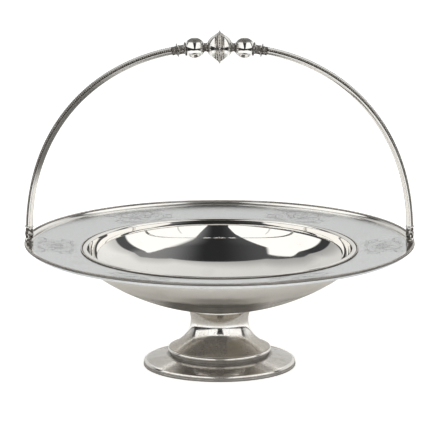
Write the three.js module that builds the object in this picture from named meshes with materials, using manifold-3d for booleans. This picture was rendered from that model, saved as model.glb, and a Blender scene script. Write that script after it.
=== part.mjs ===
// A footed silver-plated dish with a swing handle.
// Millimetres, +Z up. The origin is the middle of the foot, on the surface that the dish stands on.
// The front of the dish faces -Y, and the handle's two hinges lie on the X axis.

import * as THREE from "three";
import { mergeVertices } from "three/addons/utils/BufferGeometryUtils.js";
import Module from "manifold-3d";

// Rim and well
const rimRadius = 120; // outer edge of the border
const borderWidth = 4.8; // from the rim's edge in to the engraved flat
const borderRise = 1.8; // from the flat up to the seat of the beads
const borderSeatWidth = 2; // how far the strip lies on the sheet
const borderFoot = 0.3; // thickness of the strip where it starts
const borderEdge = 0.45; // upright edge under the beads
const coveTurn = THREE.MathUtils.degToRad(66); // how steep the strip's hollow becomes
const coveShare = 0.67; // the hollow's share of the strip's height, and the rest goes straight on
const rimBeadRadius = 0.55;
const flatRise = 2.5; // the flat climbs this much from the mouth to the border
const sheetWall = 1; // bowl, rim and foot are spun from this sheet
const mouthRadius = 81.3; // inside of the well at its mouth
const shoulderRadius = 17.1; // outside bend from the mouth to the well's shallow floor
const bowlDepth = 36.7; // outside of the floor below the underside of the flat
const mouldingWidth = 3.1;
const mouldingHeight = 1.1;
const mouthBeadRadius = 0.5;

// Pedestal
const pedestalHeight = 35.5; // from the table to the outside of the bowl's floor
const collarHeight = 1;
const collarLip = 0.5; // how far the collar stands out from the stem
const stemWall = 1.2;
const waistDrop = 6.8; // from the stem's top down to its waist
const waistRadius = 17.8;
const flareRadius = 31.1; // where the stem's flare ends
const flareTurn = THREE.MathUtils.degToRad(63.5); // how far the flare turns from upright
const flareLip = 0.4; // upright edge at the end of the flare
const stepHeight = 2; // height of the moulding under the flare
const stepLip = 0.7; // how far it stands out past the flare
const stepWidth = 3.2;
const stepBase = 9.2; // height of the seat of that moulding on the foot
const riserHeight = 1.8; // the foot's small upstand under it
const riserInset = 1.4; // from the moulding's edge in to the upstand
const footRadius = 46.7;
const footEdgeRadius = 1.6; // rounding of the foot's edge
const footEdgeHeight = 3.8; // top of that rounding
const footWireHeight = 1.6;
const footWireWidth = 2.6;
const footWireLip = 0.25;

// Hinges
const hingeInset = 3.1; // from the rim's edge in to the hinge's middle
const pivotRise = 6.8; // from the rim's seat up to the pins
const pinRadius = 0.9;
const pinHeadRadius = 1.5;
const pinHeadHeight = 0.45;
const eyeRadius = 1.9; // round top of the lug
const lugWidth = 4.6;
const lugDepth = 4.8;
const tongueWidth = 1.6;
const cheekWidth = 1.2; // each side of the fork
const forkReach = 3.9; // from the pin to the top of the fork
const ferruleRadius = 2.75;
const ferruleHeight = 1.3;

// Handle
const handleRise = 116.4; // from the pins up to the middle of the grip
const archFullness = 2.18; // 2 is an ellipse, and more is squarer
const armWidth = 7.8;
const armThickness = 4.2;
const armCrown = 0.2; // the band between the beads is slightly convex
const armBeadRadius = 0.65;

// Grip
const centreBallRadius = 7.9;
const sideBallRadius = 6.3;
const ballWall = 1;
const ridgeRadius = 10.1;
const ridgeBaseWidth = 5.8;
const ridgeCrestWidth = 2.6;
const neckRadius = 3;
const neckLength = 1.9;
const ballRingRadius = 4.2;
const ballRingLength = 1.2;
const spoolRadius = 3.1;
const spoolWaist = 2.75;
const spoolLength = 3.4;
const gripFlangeRadius = 4.3;
const gripFlangeLength = 1;
const socketRadius = 2.75;
const socketLength = 2.4;
const coreRadius = 1.5;

// Clearances
const seatGap = 0.25; // between pieces that meet on a curve or at an angle
const sideGap = 0.2; // beside the lug's tongue and under the pins' heads
const boreGap = 0.08; // round the pins
const coreGap = 0.5; // round the curved core, in the straight bores of the grip
const swingGap = 0.5; // between the fork and the lug's block

// Facets
const rimFacets = 52;
const footFacets = 40;
const stemFacets = 32;
const gripFacets = 16;
const pinFacets = 12;
const archSteps = 18;
const floorSteps = 6; // across the well's floor, from the axis to the shoulder
const shoulderSteps = 4;
const coveSteps = 3;
const ballSteps = 5;

// Small edges
const edgeBreak = 0.3; // bevel of wires, strips and rings
const collarBreak = 0.2;
const beadMargin = 0.15; // from a beaded wire to the edge that it lies on
const armShoulder = 0.5; // height of the arm's flat side under the beads' ledge

// Places that follow from the sizes
const bowlFloor = pedestalHeight;
const flatUnderside = bowlFloor + bowlDepth;
const mouthSeat = flatUnderside + sheetWall;
const rimSeat = mouthSeat + flatRise;
const borderInner = rimRadius - borderWidth;
const mouthSeatEdge = mouthRadius + mouldingWidth + 2 * mouthBeadRadius + seatGap;
const shoulderCentre = mouthRadius + sheetWall - shoulderRadius;
const shoulderLevel = bowlDepth - shoulderRadius;
const floorRadius = (shoulderCentre ** 2 + bowlDepth ** 2 - shoulderRadius ** 2) / (2 * shoulderLevel);
const floorCentre = bowlFloor + floorRadius;
const stepTop = stepBase + stepHeight;
const pivotHeight = rimSeat + pivotRise;
const hingeSpan = rimRadius - hingeInset;
const wireOffset = armWidth / 2 - armBeadRadius;
const gripBore = coreRadius + coreGap;

const plated = { metalness: 1, roughness: 0.2 };
const silver = new THREE.Color(0.82, 0.81, 0.79);
const warmSilver = new THREE.Color(0.72, 0.69, 0.65);
const paleSilver = new THREE.Color(0.86, 0.87, 0.88);

const wasm = await Module();
wasm.setup();

const point = (x, y) => new THREE.Vector2(x, y);

// Points on an arc, with both ends
function arc(centreX, centreY, radius, startAngle, endAngle, steps) {
  return Array.from({ length: steps + 1 }, (_, i) => {
    const angle = startAngle + ((endAngle - startAngle) * i) / steps;
    return point(centreX + radius * Math.cos(angle), centreY + radius * Math.sin(angle));
  });
}

// A solid turned about the Z axis from a closed outline of (radius, height) points, given anticlockwise
function turned(outline, facets) {
  const onAxis = outline[0].x === 0 && outline[outline.length - 1].x === 0;
  const profile = onAxis ? outline : [...outline, outline[0]];
  return new THREE.LatheGeometry(profile, facets).rotateX(Math.PI / 2);
}

// The same about the X axis, from (radius, place along X) points
function turnedAlongX(outline, facets) {
  return turned(outline, facets).rotateY(Math.PI / 2);
}

// The outsides of short turned pieces, as (radius, place) points from one end to the other
const straight = (radius, length) => [point(radius, -length / 2), point(radius, length / 2)];

function rounded(radius, length) {
  const half = length / 2;
  return [
    point(radius - edgeBreak, -half),
    point(radius, -half + edgeBreak),
    point(radius, half - edgeBreak),
    point(radius - edgeBreak, half),
  ];
}

function sharp(radius, length) {
  return [point(radius - length, -length / 2), point(radius, 0), point(radius - length, length / 2)];
}

function waisted(radius, waist, length) {
  return [
    point(radius, -length / 2),
    point(radius, -0.35 * length),
    point(waist, -0.15 * length),
    point(waist, 0.15 * length),
    point(radius, 0.35 * length),
    point(radius, length / 2),
  ];
}

function solidOf(geometry) {
  const bare = new THREE.BufferGeometry().setAttribute("position", geometry.getAttribute("position"));
  bare.setIndex(geometry.index);
  const merged = mergeVertices(bare, 1e-4);
  const mesh = new wasm.Mesh({
    numProp: 3,
    vertProperties: merged.getAttribute("position").array,
    triVerts: new Uint32Array(merged.index.array),
  });
  return new wasm.Manifold(mesh);
}

function geometryOf(solid) {
  const mesh = solid.getMesh();
  const geometry = new THREE.BufferGeometry();
  geometry.setAttribute("position", new THREE.BufferAttribute(mesh.vertProperties, 3));
  geometry.setIndex(new THREE.BufferAttribute(mesh.triVerts, 1));
  const faceted = geometry.toNonIndexed();
  faceted.computeVertexNormals();
  return faceted;
}

function piece(name, geometry, color = silver, roughness = plated.roughness) {
  const material = new THREE.MeshStandardMaterial({ color, roughness, metalness: plated.metalness });
  const mesh = new THREE.Mesh(geometry, material);
  mesh.name = name;
  return mesh;
}

// Height of the outside of the bowl's floor at a radius
function bowlUnderside(radius) {
  return floorCentre - Math.sqrt(floorRadius ** 2 - radius ** 2);
}

// The well's curve on one side of the sheet, from the axis across the floor and round the shoulder
function wellCurve(inset) {
  const turn = Math.atan2(floorCentre - flatUnderside, shoulderCentre);
  const floor = arc(0, floorCentre, floorRadius - inset, -Math.PI / 2, -turn, floorSteps);
  floor[0].x = 0;
  const shoulder = arc(shoulderCentre, flatUnderside, shoulderRadius - inset, -turn, 0, shoulderSteps);
  return [...floor, ...shoulder.slice(1)];
}

function bowlGeometry() {
  const outside = wellCurve(0);
  const inside = wellCurve(sheetWall).reverse();
  const edge = borderInner + borderSeatWidth;
  const outline = [
    ...outside,
    point(mouthSeatEdge, flatUnderside),
    point(borderInner, rimSeat - sheetWall),
    point(edge, rimSeat - sheetWall),
    point(edge, rimSeat),
    point(borderInner, rimSeat),
    point(mouthSeatEdge, mouthSeat),
    point(mouthRadius, mouthSeat),
    ...inside,
  ];
  return turned(outline, rimFacets);
}

// The border's strip: it starts flat on the sheet, turns up in a hollow and ends in the seat of the beads
function borderGeometry() {
  const crest = rimSeat + borderRise;
  const beadSeat = 2 * (rimBeadRadius + beadMargin);
  const rise = borderRise - borderFoot;
  const coveRadius = (coveShare * rise) / (1 - Math.cos(coveTurn));
  const steepWidth = ((1 - coveShare) * rise) / Math.tan(coveTurn);
  const coveStart = rimRadius - beadSeat - steepWidth - coveRadius * Math.sin(coveTurn);
  const coveCentre = rimSeat + borderFoot + coveRadius;
  const cove = arc(coveStart, coveCentre, coveRadius, coveTurn - Math.PI / 2, -Math.PI / 2, coveSteps);
  const outline = [
    point(borderInner, rimSeat),
    point(borderInner + borderSeatWidth, rimSeat),
    point(rimRadius - edgeBreak, crest - borderEdge - edgeBreak),
    point(rimRadius, crest - borderEdge),
    point(rimRadius, crest),
    point(rimRadius - beadSeat, crest),
    ...cove,
    point(borderInner, rimSeat + borderFoot),
  ];
  return turned(outline, rimFacets);
}

// A round wire bent to a ring
function ringWire(radius, height, wireRadius) {
  const wireFacets = 5;
  return turned(arc(radius, height, wireRadius, 0, 2 * Math.PI, wireFacets).slice(1), rimFacets);
}

// The part of a ring in front of or behind the hinge lugs
function halfRing(ring, direction) {
  const reach = 2 * rimRadius;
  const side = new THREE.BoxGeometry(reach * 2, reach, reach * 2);
  side.translate(0, direction * (lugDepth / 2 + seatGap + reach / 2), 0);
  return geometryOf(solidOf(ring).intersect(solidOf(side)));
}

function rim() {
  const group = new THREE.Group();
  const beadRing = rimRadius - rimBeadRadius - beadMargin;
  const beadHeight = rimSeat + borderRise + rimBeadRadius;
  for (const [side, direction] of [["front", -1], ["back", 1]]) {
    group.add(piece(`rim_border_${side}`, halfRing(borderGeometry(), direction)));
    const beads = ringWire(beadRing, beadHeight, rimBeadRadius);
    group.add(piece(`rim_beads_${side}`, halfRing(beads, direction), silver, 0.3));
  }
  return group;
}

function mouthMoulding() {
  const top = mouthSeat + mouldingHeight;
  const outer = mouthRadius + mouldingWidth;
  const outline = [
    point(mouthRadius, mouthSeat),
    point(outer, mouthSeat),
    point(outer - 0.2 * mouldingWidth, top - 0.3 * mouldingHeight),
    point(outer - 0.45 * mouldingWidth, top),
    point(mouthRadius + 0.2 * mouldingWidth, top - 0.1 * mouldingHeight),
    point(mouthRadius, mouthSeat + 0.5 * mouldingHeight),
  ];
  return piece("mouth_moulding", turned(outline, rimFacets));
}

function mouthBeads() {
  const radius = mouthRadius + mouldingWidth + mouthBeadRadius + seatGap / 2;
  const wire = ringWire(radius, mouthSeat + mouthBeadRadius, mouthBeadRadius);
  return piece("mouth_beads", wire, silver, 0.3);
}

// The stem is one sweep of an ellipse, upright at the waist, and offset by the wall inside
const collarSeat = bowlUnderside(waistRadius - stemWall) - seatGap;
const stemTop = collarSeat - collarHeight;
const waistHeight = stemTop - waistDrop;
const flareEnd = stepTop + flareLip;
const sweepReach = (flareRadius - waistRadius) / (1 - Math.cos(flareTurn));
const sweepDrop = (waistHeight - flareEnd) / Math.sin(flareTurn);

function stemPoint(turn, inset) {
  const x = waistRadius + sweepReach - (sweepReach + inset) * Math.cos(turn);
  return point(x, waistHeight - (sweepDrop + inset) * Math.sin(turn));
}

// How far the sweep has turned where it reaches a height
function stemTurn(height, inset) {
  return Math.asin((waistHeight - height) / (sweepDrop + inset));
}

function stemCurve(bottom, inset, steps) {
  const start = stemTurn(stemTop, inset);
  const end = stemTurn(bottom, inset);
  return Array.from({ length: steps + 1 }, (_, i) => {
    return stemPoint(start + ((end - start) * i) / steps, inset);
  });
}

function pedestal() {
  const group = new THREE.Group();
  const stemOutside = stemCurve(flareEnd, 0, 10);
  const stemInside = stemCurve(stepTop, stemWall, 7);
  const stemOutline = [...stemInside, point(flareRadius, stepTop), ...stemOutside.reverse()];
  group.add(piece("pedestal_stem", turned(stemOutline, stemFacets)));

  const collarInner = stemInside[0].x - collarLip;
  const collarOuter = stemPoint(stemTurn(stemTop, 0), 0).x + collarLip;
  const collar = [
    point(collarInner, stemTop),
    point(collarOuter - collarBreak, stemTop),
    point(collarOuter, stemTop + 0.5 * collarHeight),
    point(collarOuter - collarBreak, collarSeat),
    point(collarInner, collarSeat),
  ];
  group.add(piece("pedestal_collar", turned(collar, stemFacets)));

  const stepOuter = flareRadius + stepLip;
  const stepInner = stepOuter - stepWidth;
  const step = [
    point(stepInner, stepBase),
    point(stepOuter - edgeBreak, stepBase),
    point(stepOuter, stepBase + 0.3 * stepHeight),
    point(stepOuter, stepBase + 0.7 * stepHeight),
    point(stepOuter - edgeBreak, stepTop),
    point(stepInner, stepTop),
  ];
  group.add(piece("foot_step_ring", turned(step, stemFacets)));

  const riserRadius = stepOuter - riserInset;
  const edgeCentre = footRadius - footEdgeRadius;
  const edgeLevel = footEdgeHeight - footEdgeRadius;
  const slope = Math.atan2(stepBase - riserHeight - footEdgeHeight, edgeCentre - riserRadius);
  const outside = arc(edgeCentre, edgeLevel, footEdgeRadius, 0, Math.PI / 2 - slope, 4);
  const inside = arc(edgeCentre, edgeLevel, footEdgeRadius - sheetWall, Math.PI / 2 - slope, 0, 3);
  const flange = [
    point(footRadius, footWireHeight),
    ...outside,
    point(riserRadius, stepBase - riserHeight),
    point(riserRadius, stepBase),
    point(stepInner, stepBase),
    point(stepInner, stepBase - sheetWall),
    point(riserRadius - sheetWall, stepBase - sheetWall),
    point(riserRadius - sheetWall, stepBase - riserHeight - sheetWall),
    ...inside,
    point(footRadius - sheetWall, footWireHeight),
  ];
  group.add(piece("foot_flange", turned(flange, footFacets), warmSilver, 0.28));

  const wireOuter = footRadius + footWireLip;
  const wire = [
    point(wireOuter - footWireWidth, 0),
    point(wireOuter - edgeBreak, 0),
    point(wireOuter, edgeBreak),
    point(wireOuter, footWireHeight - edgeBreak),
    point(wireOuter - edgeBreak, footWireHeight),
    point(wireOuter - footWireWidth, footWireHeight),
  ];
  group.add(piece("foot_wire", turned(wire, footFacets)));
  return group;
}

// An outline in the YZ plane, extruded along X and centred on it
function slabAlongX(shape, width) {
  const curveSegments = pinFacets / 2;
  const slab = new THREE.ExtrudeGeometry(shape, { depth: width, bevelEnabled: false, curveSegments });
  return slab.translate(0, 0, -width / 2).rotateX(Math.PI / 2).rotateZ(Math.PI / 2);
}

function boxBetween(low, high) {
  const size = high.clone().sub(low);
  const box = new THREE.BoxGeometry(size.x, size.y, size.z);
  return box.translate(...low.clone().add(high).multiplyScalar(0.5).toArray());
}

function pinBore() {
  const radius = pinRadius + boreGap;
  const side = straight(radius, 2 * lugWidth);
  const outline = [point(0, side[0].y), ...side, point(0, side[1].y)];
  return solidOf(turnedAlongX(outline, pinFacets));
}

// The lug: a block on the rim's seat and a tongue with a round eye, both about the pin's middle
function lugGeometry() {
  const blockTop = -eyeRadius - swingGap;
  const low = new THREE.Vector3(-lugWidth / 2, -lugDepth / 2, -pivotRise);
  const block = boxBetween(low, new THREE.Vector3(lugWidth / 2, lugDepth / 2, blockTop));
  const root = (blockTop - pivotRise) / 2; // the tongue is rooted half-way down the block
  const eye = new THREE.Shape();
  eye.moveTo(-eyeRadius, root);
  eye.lineTo(eyeRadius, root);
  eye.lineTo(eyeRadius, 0);
  eye.absarc(0, 0, eyeRadius, 0, Math.PI, false);
  const tongue = slabAlongX(eye, tongueWidth);
  return geometryOf(solidOf(block).add(solidOf(tongue)).subtract(pinBore()));
}

// The fork: two round-ended cheeks and the bridge that joins them over the tongue
function forkGeometry() {
  const side = new THREE.Shape();
  side.moveTo(eyeRadius, forkReach);
  side.lineTo(-eyeRadius, forkReach);
  side.lineTo(-eyeRadius, 0);
  side.absarc(0, 0, eyeRadius, Math.PI, 2 * Math.PI, false);
  const slotWidth = tongueWidth / 2 + sideGap;
  const blank = slabAlongX(side, 2 * (slotWidth + cheekWidth));
  const depth = eyeRadius * 2;
  const slotLow = new THREE.Vector3(-slotWidth, -depth, -depth);
  const slot = boxBetween(slotLow, new THREE.Vector3(slotWidth, depth, eyeRadius + seatGap));
  return geometryOf(solidOf(blank).subtract(solidOf(slot)).subtract(pinBore()));
}

function pinGeometry() {
  const shank = tongueWidth / 2 + 2 * sideGap + cheekWidth;
  const head = shank + pinHeadHeight;
  const outline = [
    point(0, -head),
    point(0.6 * pinHeadRadius, -head + 0.1 * pinHeadHeight),
    point(pinHeadRadius, -shank - 0.3 * pinHeadHeight),
    point(pinHeadRadius, -shank),
    point(pinRadius, -shank),
    point(pinRadius, shank),
    point(pinHeadRadius, shank),
    point(pinHeadRadius, shank + 0.3 * pinHeadHeight),
    point(0.6 * pinHeadRadius, head - 0.1 * pinHeadHeight),
    point(0, head),
  ];
  return turnedAlongX(outline, pinFacets);
}

function hinge(side) {
  const group = new THREE.Group();
  group.position.set(hingeSpan, 0, pivotHeight);
  group.add(piece(`hinge_lug_${side}`, lugGeometry(), warmSilver, 0.35));
  group.add(piece(`hinge_pin_${side}`, pinGeometry(), silver, 0.25));
  group.add(piece(`hinge_fork_${side}`, forkGeometry(), warmSilver, 0.35));

  const edge = rounded(ferruleRadius, ferruleHeight);
  const outline = [point(0, -ferruleHeight / 2), ...edge, point(0, ferruleHeight / 2)];
  const ferrule = piece(`arm_ferrule_${side}`, turned(outline, gripFacets), silver, 0.3);
  ferrule.position.z = forkReach + ferruleHeight / 2;
  group.add(ferrule);
  return group;
}

// The handle's centre line, a superellipse from pin to pin over the grip, by its angle from +X
class HandleArch extends THREE.Curve {
  constructor(startAngle, endAngle) {
    super();
    this.startAngle = startAngle;
    this.endAngle = endAngle;
  }

  getPoint(share, target = new THREE.Vector3()) {
    const angle = THREE.MathUtils.lerp(this.startAngle, this.endAngle, share);
    const across = Math.cos(angle);
    const up = Math.sin(angle);
    const power = 2 / archFullness;
    const x = hingeSpan * Math.sign(across) * Math.abs(across) ** power;
    return target.set(x, 0, pivotHeight + handleRise * Math.abs(up) ** power);
  }
}

const archAngleAtHeight = (rise) => Math.asin((rise / handleRise) ** (archFullness / 2));
const archAngleAtX = (x) => Math.acos((x / hingeSpan) ** (archFullness / 2));

// Where the arch is at a distance from the middle of the grip, and how far it has turned down there
function archStation(x) {
  const place = new HandleArch(archAngleAtX(x), Math.PI / 2).getPoint(0);
  const fall = (place.z - pivotHeight) / handleRise;
  const slope = (handleRise / hingeSpan) * (x / hingeSpan / fall) ** (archFullness - 1);
  return { place, tilt: Math.atan(slope) };
}

function alongArch(shape, path, curveSegments) {
  const settings = { steps: archSteps, bevelEnabled: false, extrudePath: path, curveSegments };
  return new THREE.ExtrudeGeometry(shape, settings);
}

function roundWire(radius, across, outwards) {
  const wire = new THREE.Shape();
  wire.absarc(across, outwards, radius, 0, 2 * Math.PI, false);
  return wire;
}

// The arm's section: x across the handle's width, y outwards, and a ledge along each edge for the beads
function armSection() {
  const half = armWidth / 2;
  const outside = armThickness / 2;
  const ledge = outside - 2 * armBeadRadius - seatGap;
  const band = wireOffset - armBeadRadius - seatGap;
  const section = new THREE.Shape();
  section.moveTo(half, ledge);
  section.lineTo(band, ledge);
  section.lineTo(band, outside - armCrown);
  section.lineTo(0, outside);
  section.lineTo(-band, outside - armCrown);
  section.lineTo(-band, ledge);
  section.lineTo(-half, ledge);
  section.lineTo(-half, ledge - armShoulder);
  section.quadraticCurveTo(-half, -outside, 0, -outside);
  section.quadraticCurveTo(half, -outside, half, ledge - armShoulder);
  return section;
}

function arm(side, startRise, endX) {
  const group = new THREE.Group();
  const path = new HandleArch(archAngleAtHeight(startRise), archAngleAtX(endX));
  group.add(piece(`handle_arm_${side}`, alongArch(armSection(), path, 5)));
  const seat = armThickness / 2 - armBeadRadius;
  for (const [edge, direction] of [["front", 1], ["back", -1]]) {
    const wire = roundWire(armBeadRadius, direction * wireOffset, seat);
    group.add(piece(`arm_beads_${edge}_${side}`, alongArch(wire, path, 3), silver, 0.3));
  }
  return group;
}

// Half the width of a ball where its section has a given radius
const ballReach = (ballRadius, seatRadius) => Math.sqrt(ballRadius ** 2 - seatRadius ** 2);

const ballArc = (radius, from, to) => {
  return arc(0, 0, radius, Math.asin(from / radius), Math.asin(to / radius), ballSteps);
};

// A hollow ball on the X axis, cut flat at two places along it.
// An end near the middle is the shell's open edge, and one further out keeps a wall round the bore.
function ballGeometry(radius, from, to) {
  const innerRadius = radius - ballWall;
  const boreReach = ballReach(innerRadius, gripBore);
  const boredEnd = (place) => (Math.abs(place) > boreReach ? [point(gripBore, place)] : []);
  const outline = [
    ...ballArc(radius, from, to),
    ...boredEnd(to),
    ...ballArc(innerRadius, Math.min(to, boreReach), Math.max(from, -boreReach)),
    ...boredEnd(from),
  ];
  return turnedAlongX(outline, gripFacets);
}

// A bored turning between two ends, given as (radius, place) points along its outside
function boredTurning(outside) {
  const first = outside[0];
  const last = outside[outside.length - 1];
  return turnedAlongX([...outside, point(gripBore, last.y), point(gripBore, first.y)], gripFacets);
}

function ridgeGeometry() {
  const base = ridgeBaseWidth / 2;
  const crest = ridgeCrestWidth / 2;
  const baseRadius = ballReach(centreBallRadius, base);
  const rise = ridgeRadius - baseRadius;
  return boredTurning([
    point(baseRadius, -base),
    point(baseRadius + 0.25 * rise, -base + 0.5 * (base - crest)),
    point(baseRadius + 0.75 * rise, -crest),
    point(ridgeRadius, -0.5 * crest),
    point(ridgeRadius, 0.5 * crest),
    point(baseRadius + 0.75 * rise, crest),
    point(baseRadius + 0.25 * rise, base - 0.5 * (base - crest)),
    point(baseRadius, base),
  ]);
}

// Each turned piece sits square to the arch at its own station, one after the other from the middle out
function grip() {
  const group = new THREE.Group();
  const sides = { right: new THREE.Group(), left: new THREE.Group() };
  sides.left.scale.x = -1;
  group.add(sides.right, sides.left);

  const place = (name, geometry, station, roughness) => {
    const { place: at, tilt } = archStation(station);
    for (const side of Object.keys(sides)) {
      const mesh = piece(`${name}_${side}`, geometry, silver, roughness);
      mesh.position.copy(at);
      mesh.rotation.y = tilt;
      sides[side].add(mesh);
    }
  };

  const crown = archStation(0).place;
  const ridge = piece("centre_ridge", ridgeGeometry(), silver, 0.3);
  ridge.position.copy(crown);
  group.add(ridge);

  const centreEnd = ballReach(centreBallRadius, neckRadius);
  place("centre_ball", ballGeometry(centreBallRadius, ridgeBaseWidth / 2, centreEnd), 0, 0.12);

  const neckMiddle = centreEnd + seatGap + neckLength / 2;
  place("grip_neck", boredTurning(straight(neckRadius, neckLength)), neckMiddle, 0.35);

  const ballStart = ballReach(sideBallRadius, neckRadius);
  const ballEnd = ballReach(sideBallRadius, ballRingRadius);
  const ballMiddle = neckMiddle + neckLength / 2 + seatGap + ballStart;
  place("side_ball", ballGeometry(sideBallRadius, -ballStart, ballEnd), ballMiddle, 0.12);

  let end = ballMiddle + ballEnd;
  const turnings = [
    ["ball_ring", ballRingLength, rounded(ballRingRadius, ballRingLength)],
    ["grip_spool", spoolLength, waisted(spoolRadius, spoolWaist, spoolLength)],
    ["grip_flange", gripFlangeLength, sharp(gripFlangeRadius, gripFlangeLength)],
    ["arm_socket", socketLength, straight(socketRadius, socketLength)],
  ];
  for (const [name, length, outline] of turnings) {
    place(name, boredTurning(outline), end + seatGap + length / 2, 0.3);
    end += seatGap + length;
  }

  const coreEnd = archAngleAtX(end);
  const path = new HandleArch(coreEnd, Math.PI - coreEnd);
  group.add(piece("grip_core", alongArch(roundWire(coreRadius, 0, 0), path, 4), silver, 0.4));
  return { group, end };
}

const dish = new THREE.Group();
dish.add(piece("bowl", bowlGeometry(), paleSilver, 0.12));
dish.add(rim(), mouthMoulding(), mouthBeads(), pedestal());

const { group: gripGroup, end: gripEnd } = grip();
dish.add(gripGroup);

for (const side of ["right", "left"]) {
  const half = new THREE.Group();
  half.scale.x = side === "left" ? -1 : 1;
  half.add(hinge(side), arm(side, forkReach + ferruleHeight + seatGap, gripEnd + seatGap));
  dish.add(half);
}

export default dish;
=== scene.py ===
import math

import bmesh
import bpy
from mathutils import Matrix, Vector


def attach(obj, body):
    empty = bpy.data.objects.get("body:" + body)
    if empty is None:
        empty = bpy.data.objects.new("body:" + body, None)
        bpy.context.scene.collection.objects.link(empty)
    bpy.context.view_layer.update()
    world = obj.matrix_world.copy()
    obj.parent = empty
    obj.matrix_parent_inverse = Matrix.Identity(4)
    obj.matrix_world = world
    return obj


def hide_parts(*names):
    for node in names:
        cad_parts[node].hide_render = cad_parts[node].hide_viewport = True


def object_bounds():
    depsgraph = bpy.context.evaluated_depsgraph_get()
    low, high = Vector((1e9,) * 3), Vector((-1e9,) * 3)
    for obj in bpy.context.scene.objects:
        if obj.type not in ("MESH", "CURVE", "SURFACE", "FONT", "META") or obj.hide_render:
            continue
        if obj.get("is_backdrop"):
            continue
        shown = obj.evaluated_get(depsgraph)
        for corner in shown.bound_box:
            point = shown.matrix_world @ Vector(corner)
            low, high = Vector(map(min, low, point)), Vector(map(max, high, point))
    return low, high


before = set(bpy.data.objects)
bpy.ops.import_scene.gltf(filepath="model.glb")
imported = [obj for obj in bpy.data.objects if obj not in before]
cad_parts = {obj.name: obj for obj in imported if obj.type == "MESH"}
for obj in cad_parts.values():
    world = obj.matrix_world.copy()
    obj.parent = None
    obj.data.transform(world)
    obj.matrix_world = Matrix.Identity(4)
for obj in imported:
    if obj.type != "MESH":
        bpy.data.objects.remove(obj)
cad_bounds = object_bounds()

bl_info = {
    "name": "Footed dish with a swing handle",
    "version": (1, 0, 0),
    "blender": (4, 5, 0),
    "location": "View3D > Sidebar > Dish",
    "description": "Models the finished pieces of a silver-plated footed dish over its solid model",
    "category": "Add Mesh",
}

MM = 0.001
FULL = 2 * math.pi
# Verts closer than this are joined, and shorter edges than that are dissolved
MERGE = 0.002 * MM
SLIVER = 0.001 * MM
# Steps round the big pieces and round the grip, and steps along an arm
TURNED_STEPS = 256
GRIP_STEPS = 64
ARM_STEPS = 72
# Edges that turn more sharply than this stay crisp
SMOOTH_ANGLE = math.radians(32)
# A bevel that rounds a whole end stops just short of it, so that the middle keeps a narrow flat
ROUND_SHARE = 0.97
# Radius of the wire between beads, as a share of theirs
CORE_SHARE = 0.7
# From the hinge lugs to the border strips, and to the beads on them
STRIP_GAP = 0.1 * MM
BEAD_GAP = 0.2 * MM
# From the round top of a lug's tongue to the end of the fork's slot
SLOT_ROOM = 0.25 * MM
# Small roundings: the border's crest, the upright edges of a lug, and a fork's shoulders
CREST_ROUNDING = 0.12 * MM
LUG_ROUNDING = 0.4 * MM
FORK_ROUNDING = 0.5 * MM
# The outer edges of the collar and of the foot's wire are rounded by a share of their height
COLLAR_ROUNDING = 0.45
WIRE_ROUNDING = 0.35
# The slope round a lug's tongue, and half the tongue's depth as a share of its round top's radius
SLOPE_WIDTH = 0.35 * MM
SLOPE_RISE = 0.25 * MM
TONGUE_SHARE = 0.98
# Edges beyond this share of a piece's height are at its end
NEAR_END = 0.9
# Height of the fine beads' middle over the sheet, and pitch of the beads on the ridge, in radii of the bead
MOUTH_BEAD_SEAT = 0.9
RIDGE_BEAD_PITCH = 2.1


def length(name, description, millimetres):
    return bpy.props.FloatProperty(
        name=name, description=description, default=millimetres * MM, min=0, precision=5, unit="LENGTH"
    )


def angle(name, description, degrees):
    return bpy.props.FloatProperty(
        name=name, description=description, default=math.radians(degrees), subtype="ANGLE"
    )


def ratio(name, description, value):
    return bpy.props.FloatProperty(name=name, description=description, default=value, min=0)


def count(name, description, value):
    return bpy.props.IntProperty(name=name, description=description, default=value, min=1)


def colour(name, description, value):
    return bpy.props.FloatVectorProperty(
        name=name, description=description, default=value, min=0, max=1, size=3, subtype="COLOR"
    )


class RimSizes(bpy.types.PropertyGroup):
    radius: length("Radius", "Outer edge of the border", 120)
    border_width: length("Border width", "From the rim's edge in to the engraved flat", 4.8)
    border_rise: length("Border rise", "From the flat up to the seat of the beads", 1.8)
    border_foot: length("Border foot", "Thickness of the strip where it starts", 0.3)
    border_edge: length("Border edge", "Upright edge under the beads", 0.45)
    border_seat: length("Border seat", "How far the strip lies on the sheet", 2)
    cove_turn: angle("Cove turn", "How steep the strip's hollow becomes", 66)
    cove_share: ratio("Cove share", "The hollow's share of the strip's height", 0.67)
    flat_rise: length("Flat rise", "The flat climbs this much from the mouth to the border", 2.5)
    bead_radius: length("Bead radius", "Beads on the border's crest", 0.55)
    bead_margin: length("Bead margin", "From the beads to the rim's edge", 0.15)
    bead_pitch: length("Bead pitch", "From one bead to the next", 1.2)


class WellSizes(bpy.types.PropertyGroup):
    mouth_radius: length("Mouth radius", "Inside of the well at its mouth", 81.3)
    shoulder_radius: length("Shoulder radius", "Outside bend from the mouth to the floor", 17.1)
    depth: length("Depth", "Outside of the floor below the underside of the flat", 36.7)
    sheet: length("Sheet", "Thickness of the spun sheet", 1)
    moulding_width: length("Moulding width", "Half-round wire round the mouth", 3.1)
    moulding_height: length("Moulding height", "Height of that wire", 1.1)
    bead_radius: length("Bead radius", "Fine beads outside the half-round wire", 0.5)
    bead_pitch: length("Bead pitch", "From one fine bead to the next", 1.1)


class ChasingSizes(bpy.types.PropertyGroup):
    repeats: count("Repeats", "Panels of scrollwork round the flat", 6)
    middle: length("Middle", "Radius of the panels' middle", 100.5)
    height: length("Height", "How far the strokes stand up", 0.06)
    sink: length("Sink", "How far the strokes' feet go into the sheet", 0.02)


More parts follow.
